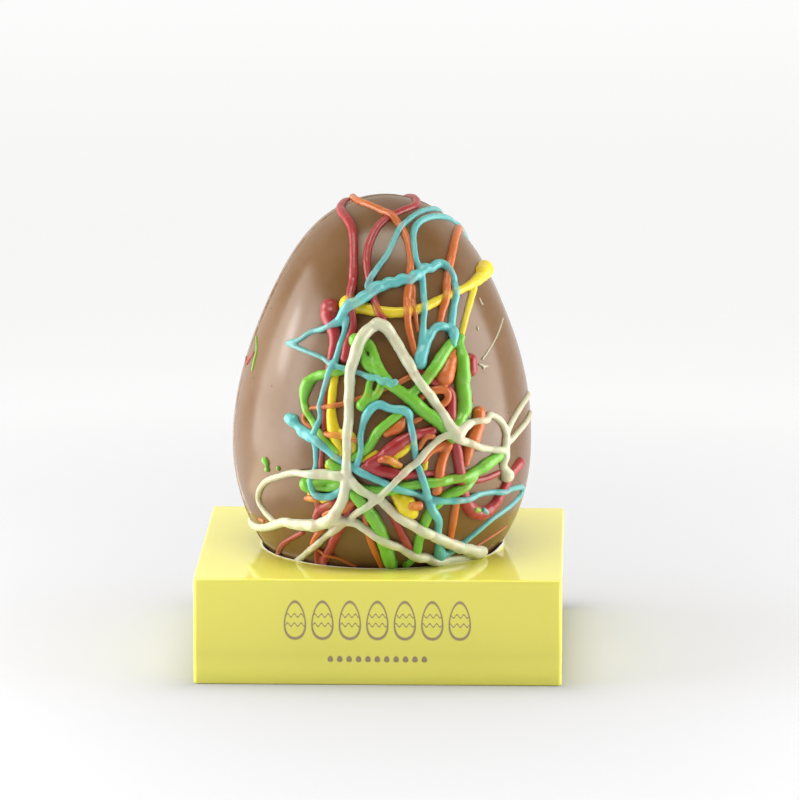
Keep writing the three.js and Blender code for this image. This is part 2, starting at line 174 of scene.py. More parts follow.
# One strand for each line, in the order of pouring: colour, width in mm, then its way over
# the egg as (degrees round from the front, height, thickness). Thickness is 1 where left out.
STRANDS = [
    ("yellow", 2.6, [(-16.5, 99, 2.2), (-10, 98.5, 1.2), (4.5, 97.5), (17.5, 98, 0.9),
     (30, 100, 0.8), (51.5, 102.5, 0.7), (67, 103.8, 1.2), (74, 104.7, 1.7), (82, 105, 1.9)]),
    ("yellow", 1.6, [(57.5, 102, 1.2), (52, 99.5), (45, 95.5, 0.9), (39.5, 91, 0.8)]),
    ("yellow", 2.1, [(-19, 81), (-19, 73.5), (-18.5, 70, 1.3), (-17, 66, 1.6), (-15, 62.5),
     (-14.5, 61), (-16.5, 59, 0.9), (-19, 57, 0.9)]),
    ("yellow", 2.3, [(-15.5, 66), (-11, 65.5, 1.2), (-9.5, 63.5), (-10.5, 61, 0.8),
     (-14, 60.5, 0.8)]),
    ("yellow", 2.1, [(12.5, 64, 0.9), (9, 62, 1.3), (4.5, 60), (6.5, 58.5, 0.9), (8.5, 57.5, 0.5)]),
    ("yellow", 4.6, [(6.5, 49.7, 0.45), (8.5, 48.6, 0.9), (10.5, 47.2, 1.15), (12.3, 45.8, 1.15),
     (13.5, 44.8, 0.8)]),
    ("yellow", 1.2, [(-6, 59), (-3.5, 60, 1.3), (-0.5, 61.5, 0.9)]),
    ("yellow", 1.5, [(18, 59, 0.9), (17.5, 57)]),
    ("yellow", 2.4, [(-27, 49, 0.6), (-25, 48, 0.6), (-18.5, 47.5)]),
    ("red", 2.2, [(-15, 85.5, 1.3), (-14.5, 88.5, 1.4), (-13, 94, 0.9), (-15.5, 100.5, 0.9),
     (-16.5, 105), (-19.5, 111, 0.9), (-28, 117), (-75, 121), (-160, 118), (170, 110),
     (162, 100, 1.4)]),
    ("red", 1.8, [(1, 95.5), (-2, 98), (-5.5, 103), (-10.5, 111), (-6, 118), (60, 122.5),
     (168, 119.5), (180, 110), (176, 98, 1.3)]),
    ("red", 1.3, [(-26.7, 98, 3.8), (-25.6, 96, 3.9), (-23.7, 93.8, 3.2), (-21.2, 91.3, 2.6),
     (-20.8, 87.5, 2), (-21.8, 84, 1.2), (-22, 80, 0.9), (-21.5, 66, 0.9), (-22.5, 53, 0.9),
     (-26.5, 37), (-30.5, 28.5, 1.1)]),
    ("red", 2.7, [(21, 67, 0.9), (11.5, 65.5), (6, 63, 1.3), (0.5, 60), (-3, 58.5)]),
    ("red", 1.5, [(-5, 57.5, 1.6), (1.5, 56.5, 2.1), (9, 55.5, 1.9), (13.5, 55.5, 1.2),
     (20, 55.5, 0.8), (34, 53, 0.9), (42, 52.5), (51.5, 53.5)]),
    ("red", 2.7, [(16.5, 82.5, 0.8), (23, 79.5, 0.9), (26.5, 78.5, 0.9), (29.5, 76), (29, 71),
     (30, 64.5), (31.5, 58.5, 1.1), (34, 50, 1.15), (37, 46, 1.3), (41.5, 43.5, 1.4),
     (46.5, 43, 1.4), (51, 44.5, 1.3), (56.5, 49.5, 1.05), (60, 52.3), (67, 54.6, 1.1)]),
    ("red", 3.9, [(41.2, 84.3), (40.6, 81.8, 0.9)]),
    ("red", 0.9, [(39, 75.5), (39, 74)]),
    ("red", 1.9, [(-15, 48, 0.8), (-19.5, 46.5), (-23.5, 44.5, 1.1), (-25.5, 42.5, 0.9)]),
    ("red", 1.3, [(-24.5, 48, 0.8), (-21, 45)]),
    ("red", 2.2, [(-8, 48, 0.8), (-11, 45.5, 0.9), (-14.5, 41), (-20, 35), (-28, 28, 1.1)]),
    ("red", 1.8, [(3.5, 47, 0.8), (8, 41.5, 1.1), (11, 37.5, 1.1), (15, 34)]),
    ("red", 1.0, [(-33, 37.5), (-42, 34.5), (-49.5, 32, 1.2), (-60.5, 28)]),
    ("red", 0.5, [(-71.5, 82.5, 0.8), (-75.5, 80, 1.4), (-77.5, 79, 1.4), (-83.5, 80, 0.8)]),
    ("orange", 1.7, [(15.5, 86.5, 0.8), (13, 94), (13, 100), (16, 106), (18.5, 111, 0.9),
     (16, 118), (-60, 123), (-150, 117), (-157, 108), (-150, 97, 1.3)]),
    ("orange", 0.8, [(17.5, 104, 1.1), (16.5, 99), (17.5, 92.5, 0.7)]),
    ("orange", 1.9, [(29, 94.5, 0.7), (33, 99), (41, 106, 1.1), (49, 110, 1.1), (75, 115),
     (118, 112), (128, 104), (124, 95, 1.3)]),
    ("orange", 4.4, [(33, 87, 0.5), (31, 84.8), (27, 80.8, 1.15)]),
    ("orange", 0.8, [(-27.5, 72), (-18.5, 73, 1.1), (-9.5, 75), (4, 78.5, 0.8)]),
    ("orange", 1.1, [(7.5, 79.5), (13.5, 81.5)]),
    ("orange", 0.9, [(-28.5, 71.5, 0.8), (-30.5, 69.5), (-29.5, 68, 1.1), (-25.5, 66.5)]),
    ("orange", 1.3, [(-20.5, 65.5), (-14.5, 65.5), (-8, 64.5, 0.8)]),
    ("orange", 3.6, [(42, 70.5), (41, 67.5), (38.3, 64, 1.15), (36, 61.5, 0.9), (34.5, 57.5, 0.4)]),
    ("orange", 2.0, [(27, 63.5), (20, 61.5, 0.9), (17, 59, 0.7)]),
    ("orange", 2.5, [(27, 63, 0.9), (24.5, 58.5), (23, 54), (22.5, 51, 1.3)]),
    ("orange", 2.0, [(31.5, 48), (31.5, 43), (32, 36, 0.8)]),
    ("orange", 1.4, [(-5, 44.5, 0.8), (-4, 39.5), (-2.5, 36, 1.1), (3, 28)]),
    ("orange", 1.3, [(-29, 47.5, 0.7), (-26.5, 48, 1.2), (-24, 48)]),
    ("orange", 1.7, [(-13, 45.5), (-10.5, 47.5, 1.5), (-8.5, 48.5, 0.9)]),
    ("orange", 2.2, [(12.5, 47.5), (15.5, 47.3)]),
    ("orange", 1.6, [(-21.5, 43.5, 0.8), (-17.5, 45, 1.1), (-14.5, 44.5)]),
    ("orange", 1.2, [(-23, 39.5), (-26.5, 37), (-29, 34.5, 1.2)]),
    ("orange", 0.6, [(-27, 33), (-19, 31), (-10.5, 28.5)]),
    ("orange", 1.7, [(0.5, 59.5, 0.6), (3, 60, 1.2), (8.5, 58, 0.6)]),
    ("orange", 0.8, [(-61, 38.2, 0.8), (-57, 38, 0.9)]),
    ("orange", 0.28, [(48, 32.5), (57.5, 34.5), (70, 36.5, 0.8)]),
    ("orange", 1.5, [(16, 75.5, 0.8), (22, 77.5, 1.4), (27, 77, 1.2), (27.5, 75, 1.1), (22, 72)]),
    ("orange", 1.1, [(16.5, 70.5), (13.5, 69.5)]),
    ("orange", 2.8, [(9.5, 70.5, 0.6), (8, 68.5, 1.1), (3, 66.5, 0.7)]),
    ("orange", 1.3, [(21, 65.5, 0.8), (18, 65.5, 0.9), (15.5, 62.5)]),
    ("green", 3.0, [(-10.8, 90, 1.3), (-8, 90, 0.8), (-5, 89.5, 0.7), (-3, 87.5, 0.7),
     (-2, 85.5, 0.8), (-1, 83.5, 1.1), (3, 80), (6, 78.5, 0.9), (9.5, 77, 0.9),
     (12.5, 75.5, 1.1), (18, 72, 1.1), (23, 69.5, 1.1), (28.5, 64.5, 0.8)]),
    ("green", 2.0, [(-10, 89.5, 1.2), (-8.5, 88), (-7, 86), (-5, 84, 1.3), (-2.5, 83, 1.2)]),
    ("green", 2.6, [(10.5, 76, 0.8), (14.5, 77.5, 0.9), (18, 79.7, 1.1), (23.5, 83.7, 1.15),
     (29.5, 87.6), (32.5, 89, 0.9)]),
    ("green", 3.1, [(39, 90.5, 0.5), (37, 88.5, 0.8), (36, 83, 1.2), (35.5, 77.5, 1.3),
     (35, 72, 1.3), (32.5, 69.5, 0.9), (30, 67.5, 0.7)]),
    ("green", 1.9, [(-13.5, 82.5, 0.8), (-19.5, 81.5), (-28, 80, 1.2), (-31, 77.5, 1.8),
     (-31, 73, 0.9), (-27.5, 69.5, 0.8), (-18, 62.5, 0.9), (-15, 61, 0.7)]),
    ("green", 1.6, [(-3.2, 81), (-4, 79.5), (-4.5, 77), (-5.3, 75, 1.6), (-6.5, 73.7, 2)]),
    ("green", 1.8, [(-0.2, 81), (0.7, 79.3), (-0.3, 77.3), (-2.5, 75.4), (-5.2, 74)]),
    ("green", 2.1, [(8.5, 72), (4, 69.5), (0, 67, 1.1), (-4, 62.5, 1.1), (-10, 59.5, 0.8)]),
    ("green", 2.9, [(-28, 51.5, 1.4), (-25.5, 52.5), (-21.5, 53.5, 0.8), (-14.5, 54, 0.8)]),
    ("green", 2.1, [(-27, 50.5, 1.1), (-22.5, 51, 0.7), (-18.5, 51, 0.8), (-13.5, 52.5)]),
    ("green", 2.4, [(-18, 58), (-15.5, 57, 1.2), (-13.5, 56.5, 0.9)]),
    ("green", 2.3, [(-9.5, 52, 0.8), (1, 51, 1.1), (12.5, 52.5, 1.1), (24, 53.5),
     (35, 54.2, 0.9), (39, 55, 1.2), (44, 56.3, 1.5), (51.5, 58.3, 1.3)]),
    ("green", 2.4, [(38.5, 54, 0.9), (36, 52, 0.8), (28, 49.5, 1.1), (21.5, 45.5, 1.1),
     (19, 41.5, 1.1), (17.5, 36), (16.5, 31.5, 0.8), (13.5, 29, 0.8)]),
    ("green", 3.4, [(-9.5, 51, 0.8), (-5, 47, 0.9), (-0.5, 42), (3, 35.5), (7, 28.5, 1.1)]),
    ("green", 0.4, [(-76, 86.5, 0.6), (-69, 83.5), (-68, 81, 1.4), (-67.5, 78)]),
    ("green", 1.5, [(-49.5, 56), (-48, 55, 0.7)]),
    ("green", 1.0, [(-48.5, 53.5), (-47.5, 53.5, 0.8)]),
    ("green", 0.9, [(-42, 54.5), (-41.5, 54.5, 0.9)]),
    ("green", 1.1, [(39.5, 45), (42, 44.5, 0.9)]),
    ("blue", 2.1, [(-45.5, 87.5, 0.6), (-39.5, 88.9, 0.4), (-34, 91.3, 0.42), (-26, 92.5, 0.5),
     (-19.5, 94.5), (-17, 96.8, 1.1), (-14, 98.5, 1.35), (-11.5, 99.1, 1.2), (-9, 100.6, 1.4),
     (-6.5, 101.5, 1.25), (-2.5, 103.6, 1.45), (0.5, 104, 1.15), (4, 105, 1.35),
     (7.5, 104.9, 1.15), (12, 105.7, 1.3), (15, 105.2, 1.05), (19, 106.4, 1.25), (22.5, 106.9),
     (27, 108.2, 1.2), (30.5, 108, 0.95), (34.5, 108.8, 1.1), (39, 109, 0.9),
     (42, 107, 0.8), (43, 104.5, 0.8), (41, 101, 0.9), (35, 93.5, 0.9), (34.5, 91.5, 1.3),
     (32.5, 88.5, 0.6)]),
    ("blue", 2.2, [(34, 93, 0.8), (27, 93.5, 0.9), (22.5, 91), (19, 87.5, 1.3), (17, 84.5, 1.6)]),
    ("blue", 1.2, [(-6.5, 102, 0.7), (-8, 103.5, 0.8), (-6, 106, 1.1), (-3, 108.5),
     (2.5, 111.5, 0.9), (16, 118), (80, 121), (130, 115), (142, 106), (136, 96, 1.4)]),
    ("blue", 1.5, [(17, 85.5, 2.1), (18.5, 89, 1.3), (21, 96.5, 0.9), (23.5, 107, 1.1),
     (21.5, 111, 0.9), (30, 118), (80, 119), (115, 113), (120, 104), (115, 97, 1.3)]),
    ("blue", 1.2, [(-45.5, 87.5, 0.7), (-36, 86.5, 0.6), (-25, 85, 0.6), (-20, 83.5),
     (-8.5, 82, 0.8), (-3, 80.8, 1.2), (-0.5, 80.9), (1, 79.7, 1.1), (3, 80.3, 1.2),
     (4.5, 79.2, 1.2), (6.5, 79.8, 1.2)]),
    ("blue", 1.3, [(-15.5, 95.5), (-18, 87.5), (-19.5, 83.5, 1.2), (-22, 78.5), (-23.5, 73, 0.8),
     (-23, 70, 0.8), (-24.5, 65, 1.2), (-24, 56.5, 0.9), (-25.5, 53, 0.9), (-24, 49.5, 1.2),
     (-18, 49, 1.3), (-12.5, 52)]),
    ("blue", 1.5, [(-37.5, 68.5, 1.8), (-35.2, 68, 2.2), (-32.7, 66.7, 1.3), (-30.3, 65.6, 2.1),
     (-27, 64.8, 2), (-23.5, 64, 1.5), (-19, 61.5, 1.1), (-14, 59), (-8.5, 57, 1.3),
     (5.5, 52.5, 1.1), (13.5, 50.5, 0.9), (21, 48.5, 1.1), (34.5, 48), (46, 48.5, 0.8),
     (68.5, 47.5, 0.8), (75, 46.5, 0.8), (75.5, 45, 0.7), (68.5, 43.5, 0.8), (53.5, 40.5, 0.8),
     (43.5, 36.5, 0.9), (35, 32.5), (31, 31.5, 1.3)]),
    ("blue", 1.8, [(-8.5, 57), (-6.5, 61, 0.7), (-6.5, 66.5, 0.7), (-4.5, 71.5, 1.1),
     (-0.5, 74, 1.2), (4.5, 73), (9.5, 72.5, 1.2), (11.5, 71.5, 1.1), (12, 69, 0.8),
     (14.5, 59.5, 0.8), (18, 51.5), (21, 46, 1.2), (25, 42, 1.1), (25.5, 39), (27, 36, 0.9),
     (29.5, 31.5, 1.9)]),
    ("blue", 0.9, [(44, 44.5), (46, 43.5)]),
    ("ivory", 2.7, [(-1.5, 94.5, 1.1), (-5, 93, 1.1), (-7.5, 91, 1.1), (-10.5, 86, 1.1),
     (-12, 82), (-11.5, 68.5, 0.9), (-11.5, 60, 0.8), (-11.5, 53.5), (-13, 48.5), (-15.5, 45.5),
     (-19, 42.5, 1.2), (-25, 40.5, 1.2), (-35.5, 39.5, 1.1), (-42, 39.5, 0.9), (-48.5, 38, 0.8),
     (-62.5, 35.5, 0.7), (-75, 34.5, 0.7), (-88, 34.5, 0.6)]),
    ("ivory", 1.5, [(-13.5, 55, 1.7), (-22, 55, 1.7), (-29, 54.5), (-34.5, 54), (-43, 52, 0.9),
     (-49.5, 50, 0.9), (-55, 46.5, 0.9), (-56.5, 44, 0.9), (-54, 41.5), (-48.5, 39, 1.1)]),
    ("ivory", 2.7, [(-1.5, 94.5, 1.1), (2.5, 93.5, 1.1), (6.5, 90.5), (12, 84.5), (16, 79.5, 0.8),
     (21, 75.5, 0.9), (24.5, 71.5, 0.8), (27.5, 67.5, 1.1), (29.5, 65.5, 1.3)]),
    ("ivory", 2.0, [(30.5, 66, 1.6), (33.5, 67.5, 1.2), (39, 68.5, 0.7), (45, 68.5, 0.8),
     (47.5, 69.5, 0.7), (53.5, 67.5, 0.8), (56.5, 64), (56, 61.5, 1.2), (54, 56), (55, 54, 1.3),
     (56, 52.5, 1.8)]),
    ("ivory", 1.8, [(30, 64.5, 1.3), (35.5, 63), (40.5, 61.5, 0.9), (53.5, 59.5, 0.9)]),
    ("ivory", 1.3, [(56.5, 63.5, 1.2), (61.5, 66.5), (71.5, 69.5, 0.9), (86.5, 71, 0.8)]),
    ("ivory", 1.4, [(57, 61, 1.1), (67.5, 63.5, 0.9), (84.5, 66, 0.8)]),
    ("ivory", 1.5, [(28.5, 65.5, 1.2), (25, 65.5), (18.5, 62, 1.1), (14, 58.5, 1.1),
     (11, 57, 1.2), (5, 53, 0.9), (0.5, 49.5, 1.1), (-6.5, 46, 1.1), (-11, 43, 0.9),
     (-18.5, 39, 1.1), (-25.5, 35.5), (-45.5, 27.5, 0.9)]),
    ("ivory", 2.5, [(-11, 54.5), (-5, 51, 0.8), (1, 48.5, 0.9), (7.5, 44.5, 0.9), (14, 41.5),
     (27.5, 36.8, 1.1), (34, 34.8, 1.1), (38, 33.8, 1.2), (42, 32.8, 1.1), (46, 32, 1.3),
     (51, 31, 1.5), (55, 30.5, 1.5), (58, 30.2, 1.1)]),
    ("ivory", 2.2, [(-18, 43, 1.3), (-9.5, 42), (1, 38, 0.9), (12, 34, 0.9), (19.5, 32, 1.1),
     (28.5, 30.2), (37, 29.7), (44, 29.6, 0.9), (50.5, 29.6, 0.6)]),
    ("ivory", 0.15, [(76.5, 92.5), (60, 88), (48.5, 84)]),
    ("ivory", 0.2, [(46, 83), (48, 82.5, 1.4), (48.5, 81.5)]),
    ("ivory", 0.2, [(48, 82.5), (51, 82)]),
    ("ivory", 0.3, [(59, 99.3), (59, 98.2), (60, 97.4)]),
    ("ivory", 0.2, [(50.8, 92.6), (50.2, 91.4)]),
]

SEAM = -80  # degrees round to the line where the two half shells join
SEAM_STREAKS = [  # as the strands, but pale streaks along that line, painted highlights that also raise the surface a little
    ("bloom", 2.0, [(-83, 70, 0.4), (-81, 62, 0.9), (-80, 57, 0.5), (-79, 52, 0.8),
     (-77.5, 48.3, 1.4), (-75.5, 43.5, 1.8), (-72, 40, 1.3), (-69, 37, 0.4)]),
    ("bloom", 1.8, [(88, 66, 0.5), (87.5, 60, 1.2), (87, 53, 1.4), (85, 46, 1.3), (82, 42, 0.5)]),
    ("bloom", 1.2, [(-84, 61, 0.6), (-83, 58.5, 1.2), (-82, 56, 0.6)]),
]
OVER_TOP = 112  # mm; a strand that goes above this height is poured once, over both halves
BEHIND_THINNEST = 2.1  # mm; from this width up, the other half is a mirror image of the front
BEHIND_SPREAD = 0.87  # of the front's width round the egg
BEHIND_SIDE, BEHIND_HIGH = 60, 90  # past these degrees above this mm, ends are left off
BEHIND_TURN, BEHIND_TURN_WAVE = 5, 9  # degrees, and mm of height to a radian of the drift
BEHIND_RISE, BEHIND_RISE_WAVE = 3, 17  # mm, and degrees round to a radian of the drift
BEHIND_COLOURS = {
    "yellow": "red",
    "red": "orange",
    "orange": "yellow",
    "green": "blue",
    "blue": "green",
    "ivory": "ivory",
}


# ---------------- shape of the egg


class Egg:
    """The bare egg's surface in its own frame: its axis is Z and it doesn't lean."""

    INSIDE, OUTSIDE = 0.5, 1.6  # of a point's distance; the surface is looked for between them
    HALVINGS = 30
    SLOPE_STEP = 0.05 * MM  # up and down from a point, to find the slope there

    def __init__(self, scene):
        shape, card = scene.egg_shape, scene.egg_card
        self.bottom, self.top = shape.bottom, shape.top
        self.terms = (shape.girth, shape.taper, shape.belly, shape.shoulder)
        self.middle = (shape.top + shape.bottom) / 2
        self.half = (shape.top - shape.bottom) / 2
        self.lean = shape.lean
        self.pivot = np.array([card.hole_offset, 0.0, card.height])

    def radius(self, z):
        """Half the egg's width at a height; t is -1 at the bottom and 1 at the top."""
        t = np.clip((z - self.middle) / self.half, -1, 1)
        girth, taper, belly, shoulder = self.terms
        return np.sqrt(1 - t * t) * (girth + taper * t + belly * t**2 + shoulder * t**3)

    def point(self, degrees, height):
        """The point of the surface so far round to the right of the front, at a height."""
        a = np.radians(degrees)
        r = self.radius(height)
        return np.stack([r * np.sin(a), -r * np.cos(a), height], axis=-1)

    def on_surface(self, points):
        """The points of the surface in line with these, seen from the middle of the egg."""
        middle = np.array([0, 0, self.middle])
        ray = points - middle
        inside = np.full(len(points), self.INSIDE)
        outside = np.full(len(points), self.OUTSIDE)
        for _ in range(self.HALVINGS):
            k = (inside + outside) / 2
            z = self.middle + ray[:, 2] * k
            across = np.hypot(ray[:, 0], ray[:, 1]) * k
            within = (np.abs(ray[:, 2] * k) < self.half) & (across < self.radius(z))
            inside = np.where(within, k, inside)
            outside = np.where(within, outside, k)
        return middle + ray * inside[:, None]

    def outward(self, points):
        """Unit vectors square to the surface at these points of it."""
        low = np.maximum(points[:, 2] - self.SLOPE_STEP, self.bottom)
        high = np.minimum(points[:, 2] + self.SLOPE_STEP, self.top)
        slope = (self.radius(high) - self.radius(low)) / (high - low)
        around = np.hypot(points[:, 0], points[:, 1])
        around = np.where(around > 0, around, 1)
        flat = np.stack([points[:, 0] / around, points[:, 1] / around, -slope], axis=1)
        return flat / np.linalg.norm(flat, axis=1)[:, None]

    def seated(self, points):
        """Points of the egg's own frame in the part's frame, where the egg leans in its hole."""
        c, s = math.cos(self.lean), math.sin(self.lean)
        x, y, z = points[:, 0], points[:, 1], points[:, 2] - self.pivot[2]
        return np.stack([c * x + s * z, y, c * z - s * x], axis=1) + self.pivot


# ---------------- numbers


def eased(t):
    """From 0 to 1 as t, but level at both ends."""
    return t * t * (3 - 2 * t)


def distances(points):
    """How far each point is along the line through them all."""
    steps = np.linalg.norm(np.diff(points, axis=0), axis=1)
    return np.concatenate([[0], np.cumsum(steps)])


def evened(values, mode):
    """The mean of every five neighbours; mode says what lies past the ends."""
    padded = np.pad(values, 2, mode=mode)
    return sum(padded[i : i + len(values)] for i in range(5)) / 5


def nearest(points, places):
    """For each place, which point lies nearest to it."""
    tree = KDTree(len(points))
    for i, point in enumerate(points):
        tree.insert(point, i)
    tree.balance()
    return np.array([tree.find(place)[1] for place in places])


# ---------------- meshes


def add_object(name, data):
    made = bpy.data.objects.new(name, data)
    bpy.context.scene.collection.objects.link(made)
    return made


def smooth_object(name, mesh):
    mesh.polygons.foreach_set("use_smooth", [True] * len(mesh.polygons))
    mesh.update()
    return add_object(name, mesh)


def new_piece(name, verts, faces, materials):
    mesh = bpy.data.meshes.new(name)
    mesh.from_pydata([tuple(v) for v in verts], [], faces)
    mesh.validate()
    for material in materials:
        mesh.materials.append(material)
    return smooth_object(name, mesh)


def bands(rings, n):
    """The faces between rings of n points, from each ring to the next."""
    return [
        (i * n + j, i * n + (j + 1) % n, (i + 1) * n + (j + 1) % n, (i + 1) * n + j)
        for i in range(rings - 1)
        for j in range(n)
    ]


def closed_bands(rings, n):
    """As bands, and closed at both ends with the two points that come after the rings."""
    faces = bands(rings, n)
    last, low, high = (rings - 1) * n, rings * n, rings * n + 1
    for j in range(n):
        k = (j + 1) % n
        faces += [(low, k, j), (high, last + j, last + k)]
    return faces


def made_plain(source, name, material):
    """The evaluated object as a plain mesh object of that name; the source is removed."""
    evaluated = source.evaluated_get(bpy.context.evaluated_depsgraph_get())
    mesh = bpy.data.meshes.new_from_object(evaluated)
    old = source.data
    bpy.data.objects.remove(source)
    bpy.data.meshes.remove(old)
    mesh.name = name
    mesh.materials.clear()
    mesh.materials.append(material)
    return smooth_object(name, mesh)


def table_of(items, key, columns, kind=float):
    """What each vertex or edge of a mesh says under this key, a row for each."""
    flat = np.empty(len(items) * columns, kind)
    items.foreach_get(key, flat)
    return flat.reshape(-1, columns)


# ---------------- materials


def new_material(name, colour, roughness):
    """A material, its node tree and its shader, with the coordinates of the piece."""
    material = bpy.data.materials.new(name)
    material.use_nodes = True
    material.diffuse_color = (*colour, 1)
    tree = material.node_tree
    shader = tree.nodes["Principled BSDF"]
    shader.inputs["Base Color"].default_value = (*colour, 1)
    shader.inputs["Roughness"].default_value = roughness
    place = tree.nodes.new("ShaderNodeTexCoord").outputs["Object"]
    return material, tree, shader, place


def feed(tree, node, inputs):
    """Links each input of a node from a socket, or sets it to a plain value."""
    for key, value in inputs.items():
        if isinstance(value, bpy.types.NodeSocket):
            tree.links.new(value, node.inputs[key])
        else:
            node.inputs[key].default_value = value


def built(tree, kind, inputs, **settings):
    """A new node of that kind, with its settings and what its inputs are fed with."""
    node = tree.nodes.new(kind)
    for name, value in settings.items():
        setattr(node, name, value)
    feed(tree, node, inputs)
    return node


def axes(tree, place):
    """The x, y and z of a place."""
    return built(tree, "ShaderNodeSeparateXYZ", {"Vector": place}).outputs


def stored(tree, name):
    """What the mesh stores under this name."""
    return built(tree, "ShaderNodeAttribute", {}, attribute_name=name).outputs


def noise(tree, place, size, detail=2.0, stretch=(1, 1, 1)):
    """A noise texture whose features are about this size, in metres."""
    scale = [1 / (size * s) for s in stretch]
    scaled = built(tree, "ShaderNodeMapping", {"Vector": place, "Scale": scale}).outputs["Vector"]
    inputs = {"Vector": scaled, "Scale": 1.0, "Detail": detail}
    return built(tree, "ShaderNodeTexNoise", inputs).outputs["Fac"]


def ramp(tree, value, low, high, low_value=0.0, high_value=1.0):
    """value between low and high as a number from low_value to high_value."""
    span = {"From Min": low, "From Max": high, "To Min": low_value, "To Max": high_value}
    return built(tree, "ShaderNodeMapRange", {"Value": value, **span}).outputs["Result"]


def reckoned(tree, operation, first, second=0.0, third=0.0):
    """A number worked out from up to three, which are sockets or plain numbers."""
    inputs = {0: first, 1: second, 2: third}
    return built(tree, "ShaderNodeMath", inputs, operation=operation).outputs["Value"]


def added(tree, first, second):
    return reckoned(tree, "ADD", first, second)


def mixed(tree, factor, first, second):
    """A colour between two, which are sockets or (red, green, blue)."""
    ends = [c if isinstance(c, bpy.types.NodeSocket) else (*c, 1) for c in (first, second)]
    inputs = {0: factor, 6: ends[0], 7: ends[1]}
    return built(tree, "ShaderNodeMix", inputs, data_type="RGBA").outputs[2]


def bumped(tree, height, distance, strength, under=None):
    """A normal raised by height, on top of the normal under it."""
    inputs = {"Height": height, "Distance": distance, "Strength": strength}
    if under is not None:
        inputs["Normal"] = under
    return built(tree, "ShaderNodeBump", inputs).outputs["Normal"]


def lighter(colour, amount):
    return tuple(c + (1 - c) * amount for c in colour)


def darker(colour, amount):
    return tuple(c * (1 - amount) for c in colour)


# ---------------- chocolate


def milk_material(finish):
    """Milk chocolate out of a polished mould: satin, faintly clouded, with a fine grain."""
    milk = tuple(finish.milk)
    material, tree, shader, place = new_material("milk_chocolate", milk, 0.3)
    clouds = ramp(tree, noise(tree, place, 22 * MM, 3), 0.35, 0.65)
    base = mixed(tree, clouds, darker(milk, 0.10), lighter(milk, 0.025))
    mottle = ramp(tree, noise(tree, place, 3 * MM, 1), 0.35, 0.75, 0.0, 0.2)
    base = mixed(tree, mottle, base, lighter(milk, 0.04))
    # Pale streaks along the seam: painted highlights in the bloom colour, which the same mask
    # raises a little
    ragged = ramp(tree, noise(tree, place, 1.2 * MM, 5, (1, 1, 2)), 0.3, 0.7, -0.5, 0.35)
    painted_streak = ramp(tree, added(tree, stored(tree, "worn")["Fac"], ragged), 0.35, 0.95)
    base = mixed(tree, painted_streak, base, tuple(finish.bloom))
    dulled = ramp(tree, noise(tree, place, 9 * MM, 2), 0.3, 0.7, 0.20, 0.26)
    slow = bumped(tree, noise(tree, place, 7 * MM, 1), 0.08 * MM, 0.3)
    fine = bumped(tree, noise(tree, place, 1.6 * MM, 1), 0.01 * MM, 0.3, slow)
    raised = bumped(tree, painted_streak, 0.2 * MM, 0.5, fine)
    inputs = {"Base Color": base, "Roughness": dulled, "Normal": raised}
    feed(tree, shader, {**inputs, "Specular IOR Level": 0.42})
    return material


def poured_material(name, colour):
    """Coloured chocolate that set as it was poured, with what shows through from below."""
    material, tree, shader, place = new_material(name, colour, 0.3)
    patchy = ramp(tree, noise(tree, place, 2.5 * MM, 2), 0.3, 0.7)
    base = mixed(tree, patchy, darker(colour, 0.05), lighter(colour, 0.02))
    below = stored(tree, "below")
    base = mixed(tree, below["Alpha"], base, below["Color"])
    dulled = ramp(tree, noise(tree, place, 3 * MM, 1), 0.3, 0.7, 0.29, 0.36)
    fine = bumped(tree, noise(tree, place, 2.2 * MM, 1), 0.02 * MM, 0.2)
    inputs = {"Base Color": base, "Roughness": dulled, "Normal": fine}
    feed(tree, shader, {**inputs, "Subsurface Weight": 0.15, "Subsurface Scale": 0.8 * MM})
    return material


RIPPLES = (  # waves round the egg, height to a radian, start in radians, share
    (3, 9 * MM, 0.0, 1.0),
    (5, -13 * MM, 1.3, 1.0),
    (2, 6 * MM, 4.0, 0.7),
)
RIPPLES_FULL = 20 * MM  # radius from which the waves have their full depth


def shell_points(egg, ripple, angles, heights):
    """Rings of points of the egg's surface, with the slow waves of a hand-filled mould."""
    a, z = np.meshgrid(angles, heights)
    wave = sum(
        part * np.sin(waves * a + z / rise + start) for waves, rise, start, part in RIPPLES
    )
    r = egg.radius(z)
    r = r + ripple * wave * np.clip(r / RIPPLES_FULL, 0, 1)
    return np.stack([r * np.sin(a), -r * np.cos(a), z], axis=-1)


class EGG_OT_shell(bpy.types.Operator):
    """Make the bare milk chocolate egg"""

    bl_idname = "egg.shell"
    bl_label = "Egg shell"

    SIDES = 320
    RINGS = 200
    SEED = 3
    STREAK_REACH = 1.5  # half widths from a painted highlight streak's middle to where it ends

    def execute(self, context):
        scene = context.scene
        egg = Egg(scene)
        angles = np.linspace(0, 2 * math.pi, self.SIDES, endpoint=False)
        turns = np.linspace(0, math.pi, self.RINGS + 1)[1:-1]
        heights = egg.middle - egg.half * np.cos(turns)
        rings = shell_points(egg, scene.egg_shape.ripple, angles, heights)
        poles = [(0, 0, egg.bottom), (0, 0, egg.top)]
        verts = egg.seated(np.vstack([rings.reshape(-1, 3), poles]))
        faces = closed_bands(len(heights), self.SIDES)
        piece = new_piece("egg_shell", verts, faces, [milk_material(scene.egg_finish)])
        # The streaks along the seam are painted highlights; how near each vertex lies to one is
        # stored for the material
        random = np.random.default_rng(self.SEED)
        streaks = [Strand(egg, *row, scene.egg_drizzle, random) for row in SEAM_STREAKS]
        feet, halves = stations(egg, streaks)
        closest = nearest(feet, verts)
        gap = np.linalg.norm(feet[closest] - verts, axis=1)
        worn = np.clip(self.STREAK_REACH - gap / halves[closest], 0, 1)
        piece.data.attributes.new("worn", "FLOAT", "POINT").data.foreach_set("value", worn)
        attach(piece, "root")
        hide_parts("egg")
        return {"FINISHED"}


# ---------------- drizzle


